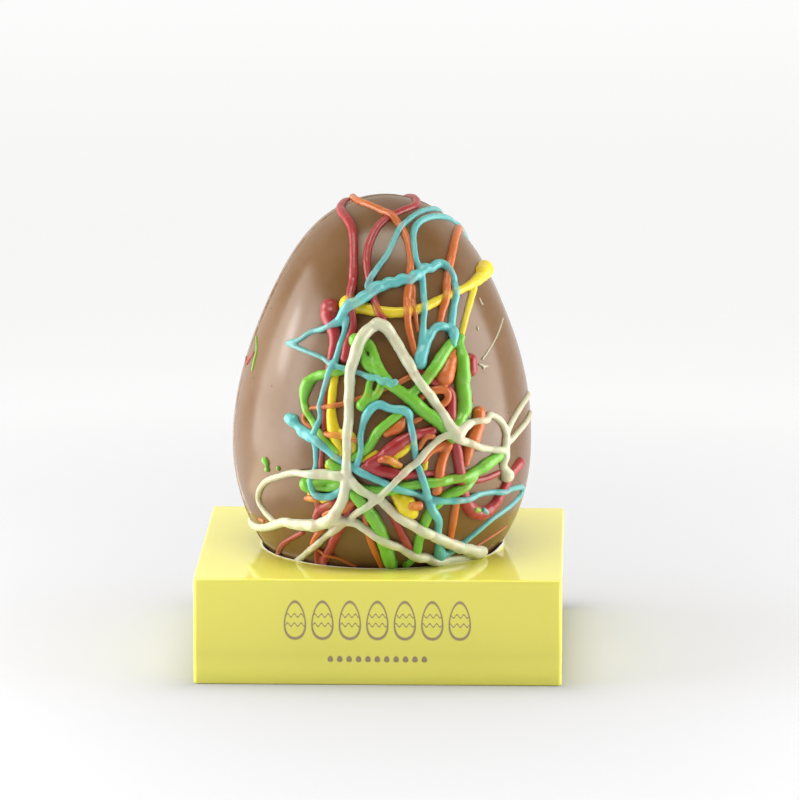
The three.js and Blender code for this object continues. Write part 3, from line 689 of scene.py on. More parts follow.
class Strand:
    """A poured strand as stations along its way: foot, outward direction, half width, lift."""

    STEP = 0.35 * MM
    FULL_SWELL = 0.5 * MM  # half width from which smoothing is made up for in full
    WAVES = ((5.2 * MM, 0.6), (2.3 * MM, 0.4))  # length and share of the unevenness
    PACES = 0.8, 1.25  # how much faster or slower these waves may run
    FINE = 60  # steps from one point of the route to the next, before they are evened out
    THINNEST_SWELL = 0.45  # of the full swell
    TIP = 6  # stations round the end of a strand

    def __init__(self, egg, colour, width, route, drizzle, random):
        self.colour = colour
        control = np.array([egg.point(r[0], r[1] * MM) for r in route])
        thick = np.array([r[2] if len(r) > 2 else 1.0 for r in route])
        points, thick = self.curve(control, thick)
        self.foot = egg.on_surface(points)
        self.up = egg.outward(self.foot)
        self.along = distances(self.foot)
        uneven = np.ones(len(self.along))
        for wave, part in self.WAVES:
            phase, pace = random.uniform(0, 2 * math.pi), random.uniform(*self.PACES)
            swing = np.sin(self.along / wave * 2 * math.pi * pace + phase)
            uneven += drizzle.unevenness * part * swing
        self.half = (width * MM * thick * uneven + drizzle.spread) / 2
        self.lift = np.zeros(len(self.along))

    def curve(self, control, thick):
        """Evenly spaced points on a centripetal Catmull-Rom curve, and the thickness there."""
        ends = 2 * control[[0, -1]] - control[[1, -2]]
        p = np.vstack([ends[:1], control, ends[1:]])
        knots = np.sqrt(np.linalg.norm(np.diff(p, axis=0), axis=1))
        fine, fine_thick = [], []
        for i in range(len(control) - 1):
            a, b, c, d = p[i : i + 4]
            before, here, after = knots[i : i + 3]
            start = (b - a) / before - (c - a) / (before + here) + (c - b) / here
            end = (c - b) / here - (d - b) / (here + after) + (d - c) / after
            t = np.linspace(0, 1, self.FINE, endpoint=False)[:, None]
            fine.append(
                b * (2 * t**3 - 3 * t**2 + 1)
                + start * here * (t**3 - 2 * t**2 + t)
                + c * (3 * t**2 - 2 * t**3)
                + end * here * (t**3 - t**2)
            )
            fine_thick.append(thick[i] + (thick[i + 1] - thick[i]) * eased(t[:, 0]))
        fine = np.vstack([*fine, control[-1:]])
        fine_thick = np.concatenate([*fine_thick, thick[-1:]])
        along = distances(fine)
        even = np.linspace(0, along[-1], max(3, round(along[-1] / self.STEP) + 1))
        points = np.stack([np.interp(even, along, fine[:, k]) for k in range(3)], axis=1)
        return points, np.interp(even, along, fine_thick)

    def drape(self, poured, drizzle):
        """Lifts the strand over those of other colours that were poured before it."""
        lift = self.lift
        for other in poured:
            if other.colour == self.colour:
                continue
            reach = self.half.max() + other.half.max()
            low, high = other.foot.min(0) - reach, other.foot.max(0) + reach
            near = ((self.foot > low) & (self.foot < high)).all(1)
            if not near.any():
                continue
            feet = self.foot[near]
            gaps = np.linalg.norm(feet[:, None] - other.foot[None], axis=2)
            share = gaps / (self.half[near][:, None] + other.half[None])
            rise = np.sqrt(np.clip(1 - share**2, 0, 1))
            over = other.lift + drizzle.crossing * other.half * rise
            lift[near] = np.maximum(lift[near], np.where(share < 1, over, 0).max(1))
        fall = drizzle.slope * np.abs(self.along[:, None] - self.along[None])
        self.lift = evened((lift[None] - fall).max(1), "edge")

    def tube(self, egg, drizzle, rim, swell):
        """Centres and radii of a tube with round ends; swell makes up for later smoothing."""
        free = self.lift + (drizzle.crown - 1) * self.half
        pressed = np.minimum(free, drizzle.rim_height - self.half)
        t = eased(np.clip((self.foot[:, 2] - rim) / drizzle.rim_ease, 0, 1))
        centre = self.foot + self.up * (pressed + (free - pressed) * t)[:, None]
        swell = swell * np.clip(self.half / self.FULL_SWELL, self.THINNEST_SWELL, 1)
        radius = np.sqrt(self.half**2 + swell)
        for end, inner in ((0, 2), (-1, -3)):
            ahead = centre[end] - centre[inner]
            ahead = ahead / np.linalg.norm(ahead)
            reach = np.sin(np.linspace(0, math.pi / 2, self.TIP)[1:-1])
            tip = centre[end] + ahead * (reach * self.half[end])[:, None]
            small = radius[end] * np.sqrt(1 - reach**2)
            if end:
                centre, radius = np.vstack([centre, tip]), np.concatenate([radius, small])
            else:
                centre = np.vstack([tip[::-1], centre])
                radius = np.concatenate([small[::-1], radius])
        return egg.seated(centre), radius


def stations(egg, strands):
    """Feet in the part's frame, and half widths, at all stations of these strands."""
    feet = egg.seated(np.vstack([s.foot for s in strands]))
    return feet, np.concatenate([s.half for s in strands])


def behind(strand):
    """The strand's like on the other half of the egg."""
    colour, width, route = strand
    moved = []
    for degrees, height, *thickness in route:
        if abs(degrees) > BEHIND_SIDE and height > BEHIND_HIGH:
            continue
        far = math.cos(math.radians(degrees))
        turn = BEHIND_TURN * far * math.sin(height / BEHIND_TURN_WAVE)
        rise = BEHIND_RISE * far * math.sin(degrees / BEHIND_RISE_WAVE)
        around = BEHIND_SPREAD * degrees
        if width >= BEHIND_THINNEST:
            moved.append((180 - around + turn, height + rise, *thickness))
        else:
            moved.append((180 + around - turn, height - rise, *thickness))
    return BEHIND_COLOURS[colour], width, moved


def new_group(name, asked):
    """A geometry tree, what flows into it, and the identifiers of its inputs by name."""
    tree = bpy.data.node_groups.new(name, "GeometryNodeTree")
    names = {}
    for key, kind in {"Geometry": "Geometry", **asked}.items():
        kind = "NodeSocket" + kind
        socket = tree.interface.new_socket(key, in_out="INPUT", socket_type=kind)
        names[key] = socket.identifier
    tree.interface.new_socket("Geometry", in_out="OUTPUT", socket_type="NodeSocketGeometry")
    return tree, tree.nodes.new("NodeGroupInput").outputs, names


def end_group(tree, geometry, material):
    """Ends a geometry tree: its instances are made real and get the material."""
    real = built(tree, "GeometryNodeRealizeInstances", {"Geometry": geometry}).outputs[0]
    inputs = {"Geometry": real, "Material": material}
    painted = built(tree, "GeometryNodeSetMaterial", inputs).outputs[0]
    built(tree, "NodeGroupOutput", {"Geometry": painted})


def run_group(source, name, group, values):
    """Gives an object a geometry tree, with values for the tree's inputs by name."""
    tree, names = group
    modifier = source.modifiers.new(name, "NODES")
    modifier.node_group = tree
    for key, value in values.items():
        modifier[names[key]] = value


def tube_group():
    """Geometry nodes that make tubes along edges, as thick as their radius attribute says."""
    tree, given, names = new_group("Tubes along edges", {"Sides": "Int", "Material": "Material"})
    curve = built(tree, "GeometryNodeMeshToCurve", {"Mesh": given["Geometry"]})
    inputs = {"Resolution": given["Sides"], "Radius": 1.0}
    circle = built(tree, "GeometryNodeCurvePrimitiveCircle", inputs)
    radius = built(tree, "GeometryNodeInputNamedAttribute", {"Name": "radius"}, data_type="FLOAT")
    inputs = {
        "Curve": curve.outputs["Curve"],
        "Profile Curve": circle.outputs["Curve"],
        "Scale": radius.outputs["Attribute"],
        "Fill Caps": True,
    }
    tube = built(tree, "GeometryNodeCurveToMesh", inputs)
    end_group(tree, tube.outputs["Mesh"], given["Material"])
    return tree, names


def edge_object(name, lines):
    """An object of bare edges along (points, radii) lines, with the radii as an attribute."""
    verts, radii, edges = [], [], []
    for points, radius in lines:
        first = len(verts)
        verts.extend(tuple(p) for p in points)
        radii.extend(radius)
        edges.extend((first + i, first + i + 1) for i in range(len(points) - 1))
    mesh = bpy.data.meshes.new(name)
    mesh.from_pydata(verts, edges, [])
    mesh.attributes.new("radius", "FLOAT", "POINT").data.foreach_set("value", radii)
    return add_object(name, mesh)


class EGG_OT_drizzle(bpy.types.Operator):
    """Pour the coloured chocolate over the egg"""

    bl_idname = "egg.drizzle"
    bl_label = "Drizzle"

    SIDES = 20
    SEED = 5
    SHRINK = 0.40  # of the face size squared, off the radius squared in each smoothing
    SHOWS_THROUGH = 0.30  # of another colour below, in the thinnest strands
    MILK_THROUGH = 0.25  # of the egg's own colour there
    IVORY_THROUGH = 0.40  # the same in the palest colour
    THIN, THICK = 0.5 * MM, 1.3 * MM  # half widths of the thinnest, and of those that hide most
    OVERLAP = 0.3  # half widths past the strand below to where it stops showing through
    COVER_EDGE = 1.6  # how steeply it fades towards there
    BLUR = 4  # rounds of evening the marks out over the mesh

    def execute(self, context):
        scene = context.scene
        egg, drizzle = Egg(scene), scene.egg_drizzle
        random = np.random.default_rng(self.SEED)
        back = [behind(s) for s in STRANDS if max(r[1] for r in s[2]) <= OVER_TOP]
        tubes = tube_group()
        for half, rows in (("front", STRANDS), ("back", back)):
            poured = []
            for row in rows:
                strand = Strand(egg, *row, drizzle, random)
                strand.drape(poured, drizzle)
                poured.append(strand)
            for colour in SLOTS:
                self.set_colour(scene, egg, half, colour, poured, tubes)
        return {"FINISHED"}

    def set_colour(self, scene, egg, half, colour, poured, tubes):
        """All strands of one colour on one half, flowed together into one skin."""
        drizzle = scene.egg_drizzle
        name = f"drizzle_{colour}_{half}"
        strands = [s for s in poured if s.colour == colour]
        if not strands:
            raise RuntimeError(f"{name} has no strands")
        paint = colour + "_chocolate"
        material = bpy.data.materials.get(paint) or poured_material(
            paint, tuple(getattr(scene.egg_finish, colour))
        )
        swell = self.SHRINK * drizzle.grain**2 * drizzle.rounding
        lines = [s.tube(egg, drizzle, scene.egg_card.height, swell) for s in strands]
        source = edge_object(name + "_lines", lines)
        run_group(source, "Tubes", tubes, {"Sides": self.SIDES, "Material": material})
        skin = source.modifiers.new("Skin", "REMESH")
        skin.mode = "VOXEL"
        skin.voxel_size = drizzle.grain
        flow = source.modifiers.new("Flow", "SMOOTH")
        flow.factor = 0.5
        flow.iterations = drizzle.rounding
        piece = made_plain(source, name, material)
        self.mark_below(scene, egg, piece, colour, strands, poured)
        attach(piece, "root")
        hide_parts("egg")

    def mark_below(self, scene, egg, piece, colour, strands, poured):
        """Stores the colour that shows through each vertex, with its share as alpha."""
        places = table_of(piece.data.vertices, "co", 3)
        feet, halves = stations(egg, strands)
        station = nearest(feet, places)
        thin = 1 - np.clip((halves[station] - self.THIN) / (self.THICK - self.THIN), 0, 1)
        marks = np.empty((len(places), 4), np.float32)
        marks[:, :3] = scene.egg_finish.milk
        through = self.IVORY_THROUGH if colour == "ivory" else self.MILK_THROUGH
        marks[:, 3] = through * thin**2
        first = min(poured.index(s) for s in strands)
        lower = [s for s in poured[:first] if s.colour != colour]
        if lower:
            lower_feet, lower_halves = stations(egg, lower)
            rows = [getattr(scene.egg_finish, s.colour)[:] for s in lower]
            colours = np.repeat(rows, [len(s.half) for s in lower], axis=0)
            under = nearest(lower_feet, feet)[station]
            gap = np.linalg.norm(feet[station] - lower_feet[under], axis=1)
            reach = lower_halves[under] + self.OVERLAP * halves[station]
            cover = eased(np.clip(self.COVER_EDGE * (1 - gap / reach), 0, 1))[:, None]
            shown = self.SHOWS_THROUGH * (0.5 + 0.5 * thin[:, None])
            crossed = np.hstack([colours[under], shown])
            marks = marks * (1 - cover) + crossed * cover
        marks = self.blurred(piece.data, marks).astype(np.float32)
        attribute = piece.data.attributes.new("below", "FLOAT_COLOR", "POINT")
        attribute.data.foreach_set("color", marks.ravel())

    def blurred(self, mesh, marks):
        """The marks of the vertices, each drawn towards those of its neighbours."""
        ends = table_of(mesh.edges, "vertices", 2, np.int32)
        count = np.bincount(ends.ravel(), minlength=len(marks))[:, None] + 1
        for _ in range(self.BLUR):
            near = np.empty_like(marks)
            for k in range(4):
                near[:, k] = np.bincount(ends[:, 0], marks[ends[:, 1], k], len(marks))
                near[:, k] += np.bincount(ends[:, 1], marks[ends[:, 0], k], len(marks))
            marks = (marks + near) / count
        return marks


# ---------------- seam and crumbs


def bloom_material(finish):
    """Milk chocolate rubbed pale and dry along an edge."""
    bloom = tuple(finish.bloom)
    material, tree, shader, place = new_material("bloomed_chocolate", bloom, 0.6)
    rubbed = ramp(tree, noise(tree, place, 2.5 * MM, 3), 0.45, 0.75)
    base = mixed(tree, rubbed, tuple(finish.milk), bloom)
    flaky = bumped(tree, noise(tree, place, 0.5 * MM, 3), 0.05 * MM, 0.6)
    feed(tree, shader, {"Base Color": base, "Normal": flaky})
    return material


class EGG_OT_seam(bpy.types.Operator):
    """Make the bead where the half shells join"""

    bl_idname = "egg.seam"
    bl_label = "Seam"

    SIDES = 8
    STATIONS = 160  # up each side
    OFF_POLE = 0.01  # radians
    SEED = 3
    SUNK = 0.55  # of the radius, in the shell
    WEAR = 0.25  # of the radius, more or less at each station

    def execute(self, context):
        scene = context.scene
        egg = Egg(scene)
        random = np.random.default_rng(self.SEED)
        turns = np.linspace(self.OFF_POLE, math.pi - self.OFF_POLE, self.STATIONS)
        heights = egg.middle - egg.half * np.cos(turns)
        up, down = egg.point(SEAM, heights), egg.point(SEAM + 180, heights[::-1])
        ring = np.vstack([up, down, up[:1]])
        worn = 1 + self.WEAR * random.standard_normal(len(ring))
        radius = scene.egg_shape.seam * evened(worn, "wrap")
        centre = egg.seated(ring - egg.outward(ring) * (radius * self.SUNK)[:, None])
        material = bloom_material(scene.egg_finish)
        source = edge_object("shell_seam_lines", [(centre, radius)])
        run_group(source, "Bead", tube_group(), {"Sides": self.SIDES, "Material": material})
        piece = made_plain(source, "shell_seam", material)
        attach(piece, "root")
        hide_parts("egg")
        return {"FINISHED"}


def crumb_group():
    """Geometry nodes that scatter small crumbs over a surface."""
    asked = {"Density": "Float", "Smallest": "Float", "Largest": "Float", "Seed": "Int"}
    tree, given, names = new_group("Crumbs on a surface", {**asked, "Material": "Material"})
    inputs = {"Mesh": given["Geometry"], "Density": given["Density"], "Seed": given["Seed"]}
    scatter = built(tree, "GeometryNodeDistributePointsOnFaces", inputs)
    crumb = built(tree, "GeometryNodeMeshIcoSphere", {"Radius": 1.0, "Subdivisions": 2})
    inputs = {2: given["Smallest"], 3: given["Largest"], "Seed": given["Seed"]}
    size = built(tree, "FunctionNodeRandomValue", inputs)
    inputs = {
        "Points": scatter.outputs["Points"],
        "Rotation": scatter.outputs["Rotation"],
        "Instance": crumb.outputs["Mesh"],
        "Scale": size.outputs[1],
    }
    place = built(tree, "GeometryNodeInstanceOnPoints", inputs)
    end_group(tree, place.outputs["Instances"], given["Material"])
    return tree, names


class EGG_OT_crumbs(bpy.types.Operator):
    """Scatter fine pale crumbs over the egg"""

    bl_idname = "egg.crumbs"
    bl_label = "Crumbs"

    DENSITY = 4500.0  # crumbs to the square metre
    SMALLEST, LARGEST = 0.07 * MM, 0.19 * MM
    SEED = 11
    LOW, HIGH = 5 * MM, 2 * MM  # from the hole and from the top
    SIDES, RINGS = 72, 30  # of the surface that they are scattered on

    def execute(self, context):
        scene = context.scene
        egg = Egg(scene)
        angles = np.linspace(0, 2 * math.pi, self.SIDES, endpoint=False)
        low, high = scene.egg_card.height + self.LOW, egg.top - self.HIGH
        heights = np.linspace(low, high, self.RINGS)
        rings = shell_points(egg, scene.egg_shape.ripple, angles, heights)
        verts, faces = egg.seated(rings.reshape(-1, 3)), bands(len(heights), len(angles))
        material = bloom_material(scene.egg_finish)
        source = new_piece("crumb_ground", verts, faces, [material])
        values = {
            "Density": self.DENSITY,
            "Smallest": self.SMALLEST,
            "Largest": self.LARGEST,
            "Seed": self.SEED,
            "Material": material,
        }
        run_group(source, "Crumbs", crumb_group(), values)
        piece = made_plain(source, "crumbs", material)
        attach(piece, "root")
        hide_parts("egg")
        return {"FINISHED"}


# ---------------- card base


PRINT_ROWS = (  # middle height, pitch, how many, half width, half height in mm, patterned
    (17.6, 7.3, 7, 2.7, 5.0, True),
    (7.1, 2.5, 11, 0.75, 0.85, False),
)
PRINT_TAPER = 0.22  # how much narrower a painted egg is at its top
PRINT_LINE = 0.21  # mm; half as wide as the lines
PRINT_WAVE, PRINT_SWING, PRINT_APART = 1.8, 0.45, 1.25  # mm; the two waves across an egg
PRINT_SOFTNESS = 0.08  # mm over which the ink's edge fades
PRINT_FRONT = 0.9  # of the way from the middle to the front; there is no ink before that

# Where the card's colours change, in fold radii below its top
PANEL_STARTS, WEAR_STARTS, WEAR_ENDS = (1.1, 0.3), (1.3, 0.6), (0.3, 0.05)
FOOT_HIGH = 8 * MM  # how far up the painted light on the foot fades out


def printed(tree, place):
    """How much ink lies on the front: a row of painted eggs and a row of dots below it."""

    def sum_of(operation, first, second=0.0, third=0.0):
        return reckoned(tree, operation, first, second, third)

    def inked(gap):
        return ramp(tree, gap, -PRINT_SOFTNESS, PRINT_SOFTNESS, 1.0, 0.0)

    x, y, z = (sum_of("DIVIDE", axis, MM) for axis in axes(tree, place))
    total = 0.0
    for middle, pitch, count, wide, high, patterned in PRINT_ROWS:
        row = sum_of("LESS_THAN", sum_of("ABSOLUTE", x), count * pitch / 2)
        across = sum_of("FLOORED_MODULO", added(tree, x, count * pitch / 2), pitch)
        across = sum_of("DIVIDE", sum_of("SUBTRACT", across, pitch / 2), wide)
        above = sum_of("SUBTRACT", z, middle)
        up = sum_of("DIVIDE", above, high)
        across = sum_of("MULTIPLY", across, sum_of("MULTIPLY_ADD", up, PRINT_TAPER, 1.0))
        away = sum_of("MULTIPLY_ADD", across, across, sum_of("MULTIPLY", up, up))
        gap = sum_of("MULTIPLY", sum_of("SUBTRACT", sum_of("SQRT", away), 1.0), wide)
        ink = inked(gap)
        if patterned:
            wave = sum_of("SINE", sum_of("MULTIPLY", x, 2 * math.pi / PRINT_WAVE))
            height = sum_of("MULTIPLY_ADD", wave, PRINT_SWING, above)
            off = sum_of("ABSOLUTE", sum_of("SUBTRACT", sum_of("ABSOLUTE", height), PRINT_APART))
            pattern = sum_of("MULTIPLY", inked(sum_of("SUBTRACT", off, PRINT_LINE)), ink)
            outline = inked(sum_of("SUBTRACT", sum_of("ABSOLUTE", gap), PRINT_LINE))
            ink = sum_of("MAXIMUM", pattern, outline)
        total = sum_of("MAXIMUM", sum_of("MULTIPLY", ink, row), total)
    return sum_of("MULTIPLY", total, sum_of("LESS_THAN", y, -PRINT_FRONT * BASE_HIGH.x / MM))


def card_material(finish, card):
    """Coated yellow card: an even glossy film over paper, a little rubbed along the folds. Light is
    painted in as well: the top panel is lighter than the sides, and the sides are paler near the
    table.
    """
    yellow = tuple(finish.card)
    material, tree, shader, place = new_material("coated_card", yellow, 0.16)
    clouds = ramp(tree, noise(tree, place, 30 * MM, 2), 0.35, 0.65)
    base = mixed(tree, clouds, darker(yellow, 0.03), yellow)
    z = axes(tree, place)["Z"]

    def past(low, high):
        """How far up it is between these two, in fold radii below the top."""
        return ramp(tree, z, card.height - low * card.fold, card.height - high * card.fold)

    # Painted light: the sides grow paler towards the table
    base = mixed(tree, ramp(tree, z, 0, FOOT_HIGH, 1.0, 0.0), base, tuple(finish.foot))
    # Painted light: the top panel gets a lighter, richer yellow than the sides
    base = mixed(tree, past(*PANEL_STARTS), base, tuple(finish.panel))
    over = reckoned(tree, "SUBTRACT", 1.0, past(*WEAR_ENDS))
    folded = reckoned(tree, "MULTIPLY", past(*WEAR_STARTS), over)
    rubbed = ramp(tree, noise(tree, place, 2.5 * MM, 4, (6, 6, 1)), 0.50, 0.72, 0.0, 0.35)
    rubbed = reckoned(tree, "MULTIPLY", folded, rubbed)
    base = mixed(tree, rubbed, base, lighter(yellow, 0.5))
    base = mixed(tree, printed(tree, place), base, tuple(finish.ink))
    dulled = ramp(tree, noise(tree, place, 12 * MM, 3), 0.3, 0.7, 0.06, 0.10)
    slow = bumped(tree, noise(tree, place, 25 * MM, 1), 0.06 * MM, 0.2)
    fibre = bumped(tree, noise(tree, place, 0.6 * MM, 2), 0.004 * MM, 0.3, slow)
    feed(tree, shader, {"Base Color": base, "Roughness": dulled, "Normal": fibre})
    return material


def board_material(finish):
    """The bare board of a cut edge: white, rough and fibrous."""
    board = tuple(finish.board)
    material, tree, shader, place = new_material("cut_board", board, 0.8)
    fibres = ramp(tree, noise(tree, place, 0.5 * MM, 4), 0.3, 0.7)
    base = mixed(tree, fibres, darker(board, 0.12), board)
    rough = bumped(tree, noise(tree, place, 0.3 * MM, 3), 0.05 * MM, 0.8)
    feed(tree, shader, {"Base Color": base, "Normal": rough})
    return material


def inside_material(finish):
    """The uncoated grey back of the card, inside the base."""
    grey = darker(tuple(finish.board), 0.45)
    material, tree, shader, place = new_material("inner_board", grey, 0.85)
    flecks = ramp(tree, noise(tree, place, 0.8 * MM, 4), 0.35, 0.65)
    feed(tree, shader, {"Base Color": mixed(tree, flecks, darker(grey, 0.2), grey)})
    return material


def square_outline(half, radius, straight, curved):
    """Points round a square with round corners, the same way round from any size."""
    reach = half - radius
    side = [(half, reach * (-1 + 2 * i / straight)) for i in range(straight)]
    for i in range(curved):
        a = math.pi / 2 * i / curved
        side.append((reach + radius * math.cos(a), reach + radius * math.sin(a)))
    points = []
    for quarter in range(4):
        c, s = math.cos(quarter * math.pi / 2), math.sin(quarter * math.pi / 2)
        points += [(x * c - y * s, x * s + y * c) for x, y in side]
    return np.array(points)


class EGG_OT_card_base(bpy.types.Operator):
    """Make the square card base with its round hole"""

    bl_idname = "egg.card_base"
    bl_label = "Card base"

    STRAIGHT = 44  # steps along a side
    CURVED = 8  # steps round a corner
    PANEL = 22  # steps across the top panel
    UPRIGHT = 12  # steps up a side, and down the pocket
    FOLDED = 5  # rings round a fold
    BOW = 0.12 * MM  # how far a side panel is drawn in at the middle
    CURL_AT, CURL_SPREAD = 77, 6  # degrees round to where the rim is torn, and how far
    CURL = 1.8 * MM  # height of the torn edge there
    CURL_BACK = 0.6  # of its height, away from the hole
    RIM = ((0.6, 0.8), (0.1, 1.0))  # across the bare rim: part of its width, part of the curl
    CLEAR = 0.6 * MM  # above the egg's bottom; below that the pocket gets no narrower
    SAG_BEHIND = 0.15  # of the sag, at the back of the hole
    REACH = 7.7 * MM  # how far from the hole the sag fades out

    def execute(self, context):
        scene = context.scene
        egg, card = Egg(scene), scene.egg_card
        half, fold, height = card.width / 2, card.fold, card.height
        hole = float(egg.radius(height)) + card.clearance
        middle = np.array([card.hole_offset + card.hole_shift, 0.0])
        rings = []

        def square(inset, z):
            outline = square_outline(half - inset, card.corner - inset, self.STRAIGHT, self.CURVED)
            rings.append(np.column_stack([outline, np.full(len(outline), z)]))

        quarter = np.linspace(0, math.pi / 2, self.FOLDED)
        for a in quarter:
            square(fold * (1 - math.sin(a)), fold * (1 - math.cos(a)))
        for t in np.linspace(0, 1, self.UPRIGHT + 1)[1:-1]:
            square(0, fold + (height - 2 * fold) * t)
            bow = self.BOW * math.sin(math.pi * t)
            flat = rings[-1][:, :2] / half
            inward = bow * np.clip(1 - np.abs(flat) ** 4, 0, 1).min(1)
            side = np.abs(flat).argmax(1)
            rows = np.arange(len(flat))
            rings[-1][rows, side] -= np.sign(flat[rows, side]) * inward
        for a in quarter:
            square(fold * (1 - math.cos(a)), height - fold * (1 - math.sin(a)))
        outer = rings[-1][:, :2]
        away = outer - middle
        away = away / np.linalg.norm(away, axis=1)[:, None]
        degrees = np.degrees(np.arctan2(away[:, 0], -away[:, 1]))
        curl = self.CURL * np.exp(-(((degrees - self.CURL_AT) / self.CURL_SPREAD) ** 2))

        def round_ring(radius, z, sagging=1.0, curled=0.0):
            points = middle + away * (radius + self.CURL_BACK * curled * curl)[:, None]
            z = z + curled * curl - sagging * self.sag(card, away, 0)
            rings.append(np.column_stack([points, z]))

        mouth = hole + card.cut
        for t in np.linspace(0, 1, self.PANEL + 1)[1:]:
            edge = middle + away * mouth
            points = outer + (edge - outer) * t
            gap = np.linalg.norm(points - edge, axis=1)
            drop = self.sag(card, away, gap)
            rings.append(np.column_stack([points, height - drop]))
        coated = len(rings) - 1
        for part, curled in self.RIM:
            round_ring(hole + part * card.cut, height + card.burr, 1.0, curled)
        round_ring(hole, height - card.cut)
        round_ring(hole, height - card.thickness)
        bare = len(rings) - 1
        for t in np.linspace(0, 1, self.UPRIGHT + 1)[1:]:
            z = height - card.thickness + (card.pocket - height + card.thickness) * t
            low = max(z, egg.bottom + self.CLEAR)
            round_ring(float(egg.radius(low)) + card.clearance, z, 1 - t)
        n = len(outer)
        verts = np.vstack([*rings, [(0, 0, 0)], [(*middle, card.pocket)]])
        faces = closed_bands(len(rings), n)
        pocket = len(rings) - 1 - bare
        indices = [0] * coated * n + [1] * (bare - coated) * n + [2] * pocket * n + [0, 2] * n
        finish = scene.egg_finish
        materials = [card_material(finish, card), board_material(finish), inside_material(finish)]
        piece = new_piece("card_box", verts, faces, materials)
        piece.data.polygons.foreach_set("material_index", indices)
        piece.data.update()
        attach(piece, "root")
        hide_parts("card_base")
        return {"FINISHED"}

    def sag(self, card, away, gap):
        """How far the egg presses the panel down, most at the front edge of the hole."""
        front = np.clip(-away[:, 1], 0, 1) ** 2
        near = np.exp(-((gap / self.REACH) ** 2))
        return card.sag * (self.SAG_BEHIND + (1 - self.SAG_BEHIND) * front) * near


# ---------------- stage


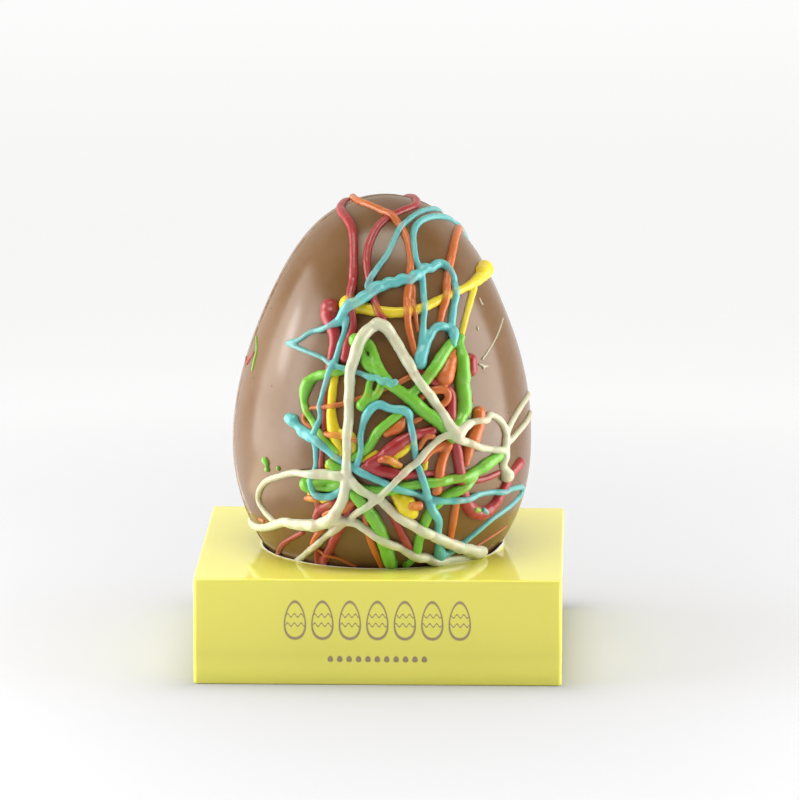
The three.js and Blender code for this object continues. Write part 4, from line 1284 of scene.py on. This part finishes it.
class EGG_OT_stage(bpy.types.Operator):
    """Set the floor, the lights and the camera"""

    bl_idname = "egg.stage"
    bl_label = "Stage"

    AZIMUTH = 1.677  # degrees round to the right of the front
    ELEVATION = 10.534  # degrees above the horizon
    DISTANCE = 1860.5 * MM
    TARGET = (4.458 * MM, 0.0, 68.075 * MM)
    LENS, SENSOR = 308.75, 36.0  # mm
    FARTHEST = 50  # m
    FLOOR = 12.0  # m
    FLOOR_COLOUR, GLOW, ROOM = (0.37, 0.385, 0.43), (0.985, 0.995, 1.01, 1), (0.93, 0.94, 0.95)
    # The floor's glow changes between two distances from the part, in m, from one strength to
    # another. The room's light does so between two parts of the way from front, -1, to back, 1. The
    # floor glows though it is no lamp, and its weaker glow near the part paints shade round it.
    GLOW_NEAR, GLOW_FAR = (0.07, 0.37, 0.28, 0.62), (0.37, 1.4, 0.0, 0.17)
    ROOM_FRONT, ROOM_BACK = (-0.95, -0.2, 0.08, 0.28), (0.35, 0.55, 0.0, 0.60)
    SHADE, SHADE_FADES = 0.9, 8 * MM  # painted shadow round the base: how much of the near glow it takes away, and how far out it fades
    DAY, MELLOW, AMBER = (1.0, 0.98, 0.95), (1.0, 0.94, 0.82), (1.0, 0.86, 0.62)
    SOFTBOXES = (  # name, place, what it faces, width and height of the box in m, watts, colour
        ("left", (-0.34, -0.02, 0.152), (0, -0.02, 0.152), 0.30, 0.30, 1.30, DAY),
        ("left_near", (-0.29, -0.15, 0.16), (0, -0.07, 0.10), 0.16, 0.26, 0.36, DAY),
        ("left_core", (-0.335, 0.0, 0.185), (0, 0.0, 0.10), 0.055, 0.08, 0.16, DAY),
        ("right", (0.34, -0.035, 0.13), (0, -0.035, 0.13), 0.29, 0.255, 1.38, DAY),
        ("left_low", (-0.235, -0.04, 0.002), (-0.235, -0.04, 1), 0.22, 0.22, 0.5, AMBER),
        ("right_low", (0.235, -0.05, 0.002), (0.235, -0.05, 1), 0.22, 0.20, 0.4, AMBER),
        ("front_low", (0, -0.17, 0.002), (0, -0.17, 1), 0.36, 0.23, 0.09, AMBER),
        ("above", (0, -0.28, 1.2), (0, 0, 0.06), 0.9, 0.45, 8.4, MELLOW),
    )

    def execute(self, context):
        scene = context.scene
        self.camera(scene)
        self.floor()
        for row in self.SOFTBOXES:
            self.softbox(*row)
        self.world(scene)
        scene.view_settings.view_transform = "Standard"
        return {"FINISHED"}

    def camera(self, scene):
        a, e = math.radians(self.AZIMUTH), math.radians(self.ELEVATION)
        back = Vector((math.sin(a) * math.cos(e), -math.cos(a) * math.cos(e), math.sin(e)))
        camera = add_object("camera", bpy.data.cameras.new("camera"))
        camera.data.lens, camera.data.sensor_width = self.LENS, self.SENSOR
        camera.data.clip_end = self.FARTHEST
        camera.location = Vector(self.TARGET) + back * self.DISTANCE
        camera.rotation_mode = "QUATERNION"
        camera.rotation_quaternion = (-back).to_track_quat("-Z", "Y")
        scene.camera = camera

    def floor(self):
        half = self.FLOOR / 2
        corners = [(-half, -half, 0), (half, -half, 0), (half, half, 0), (-half, half, 0)]
        material, tree, shader, place = new_material("floor", self.FLOOR_COLOUR, 0.8)
        away = built(tree, "ShaderNodeVectorMath", {0: place}, operation="LENGTH")
        near = ramp(tree, away.outputs["Value"], *self.GLOW_NEAR)
        far = ramp(tree, away.outputs["Value"], *self.GLOW_FAR)
        # A painted shadow: the floor's glow is dimmed close round the base
        squares = []
        for axis in axes(tree, place)[:2]:
            past = reckoned(tree, "ABSOLUTE", axis)
            past = reckoned(tree, "SUBTRACT", past, BASE_HIGH.x)
            past = reckoned(tree, "MAXIMUM", past, 0.0)
            squares.append(reckoned(tree, "MULTIPLY", past, past))
        gap = reckoned(tree, "SQRT", added(tree, *squares))
        shade = reckoned(tree, "EXPONENT", reckoned(tree, "DIVIDE", gap, -self.SHADE_FADES))
        clear = reckoned(tree, "MULTIPLY_ADD", shade, -self.SHADE, 1.0)
        lit = reckoned(tree, "MULTIPLY_ADD", near, clear, far)
        inputs = {"Emission Color": self.GLOW, "Emission Strength": lit}
        feed(tree, shader, {**inputs, "Specular IOR Level": 0.2})
        floor = new_piece("floor", corners, [(0, 1, 2, 3)], [material])

    def softbox(self, name, place, faces, width, tall, watts, light):
        lamp = bpy.data.lights.new("softbox_" + name, "AREA")
        lamp.shape = "RECTANGLE"
        lamp.size, lamp.size_y, lamp.energy = width, tall, watts
        lamp.color = light
        softbox = add_object("softbox_" + name, lamp)
        softbox.location = place
        softbox.visible_camera = False
        aim = Vector(faces) - Vector(place)
        softbox.rotation_euler = aim.to_track_quat("-Z", "Y").to_euler()

    def world(self, scene):
        """A white room whose front side, behind the camera, is dimmer and warmer."""
        world = bpy.data.worlds.new("studio")
        world.use_nodes = True
        scene.world = world
        tree = world.node_tree
        background = tree.nodes["Background"]
        place = tree.nodes.new("ShaderNodeTexCoord").outputs["Generated"]
        y = axes(tree, place)["Y"]
        front, back = ramp(tree, y, *self.ROOM_FRONT), ramp(tree, y, *self.ROOM_BACK)
        seen = tree.nodes.new("ShaderNodeLightPath").outputs["Is Camera Ray"]
        room = {
            channel: reckoned(tree, "MULTIPLY_ADD", front, warmth, back)
            for channel, warmth in enumerate(self.AMBER)
        }
        dim = built(tree, "ShaderNodeCombineColor", room).outputs["Color"]
        feed(tree, background, {"Color": mixed(tree, seen, dim, self.ROOM)})


# ---------------- sidebar and start

PROPERTIES = {
    "egg_shape": EggShape,
    "egg_card": CardShape,
    "egg_drizzle": DrizzleShape,
    "egg_finish": Finish,
}
OPERATORS = (
    EGG_OT_shell,
    EGG_OT_seam,
    EGG_OT_crumbs,
    EGG_OT_drizzle,
    EGG_OT_card_base,
    EGG_OT_stage,
)


class EGG_PT_sidebar(bpy.types.Panel):
    """Sizes, colours and pieces of the egg."""

    bl_idname = "EGG_PT_sidebar"
    bl_label = "Chocolate egg"
    bl_space_type = "VIEW_3D"
    bl_region_type = "UI"
    bl_category = "Egg"

    def draw(self, context):
        for name, group in PROPERTIES.items():
            box = self.layout.box()
            for key in group.__annotations__:
                box.prop(getattr(context.scene, name), key)
        for operator in OPERATORS:
            self.layout.operator(operator.bl_idname)


CLASSES = (*PROPERTIES.values(), *OPERATORS, EGG_PT_sidebar)


def register():
    for cls in CLASSES:
        bpy.utils.register_class(cls)
    for name, group in PROPERTIES.items():
        setattr(bpy.types.Scene, name, PointerProperty(type=group))


def unregister():
    for name in PROPERTIES:
        delattr(bpy.types.Scene, name)
    for cls in reversed(CLASSES):
        bpy.utils.unregister_class(cls)


def main():
    register()
    bpy.ops.egg.stage()
    bpy.ops.egg.card_base()
    bpy.ops.egg.shell()
    bpy.ops.egg.seam()
    bpy.ops.egg.crumbs()
    bpy.ops.egg.drizzle()


if __name__ == "__main__":
    main()
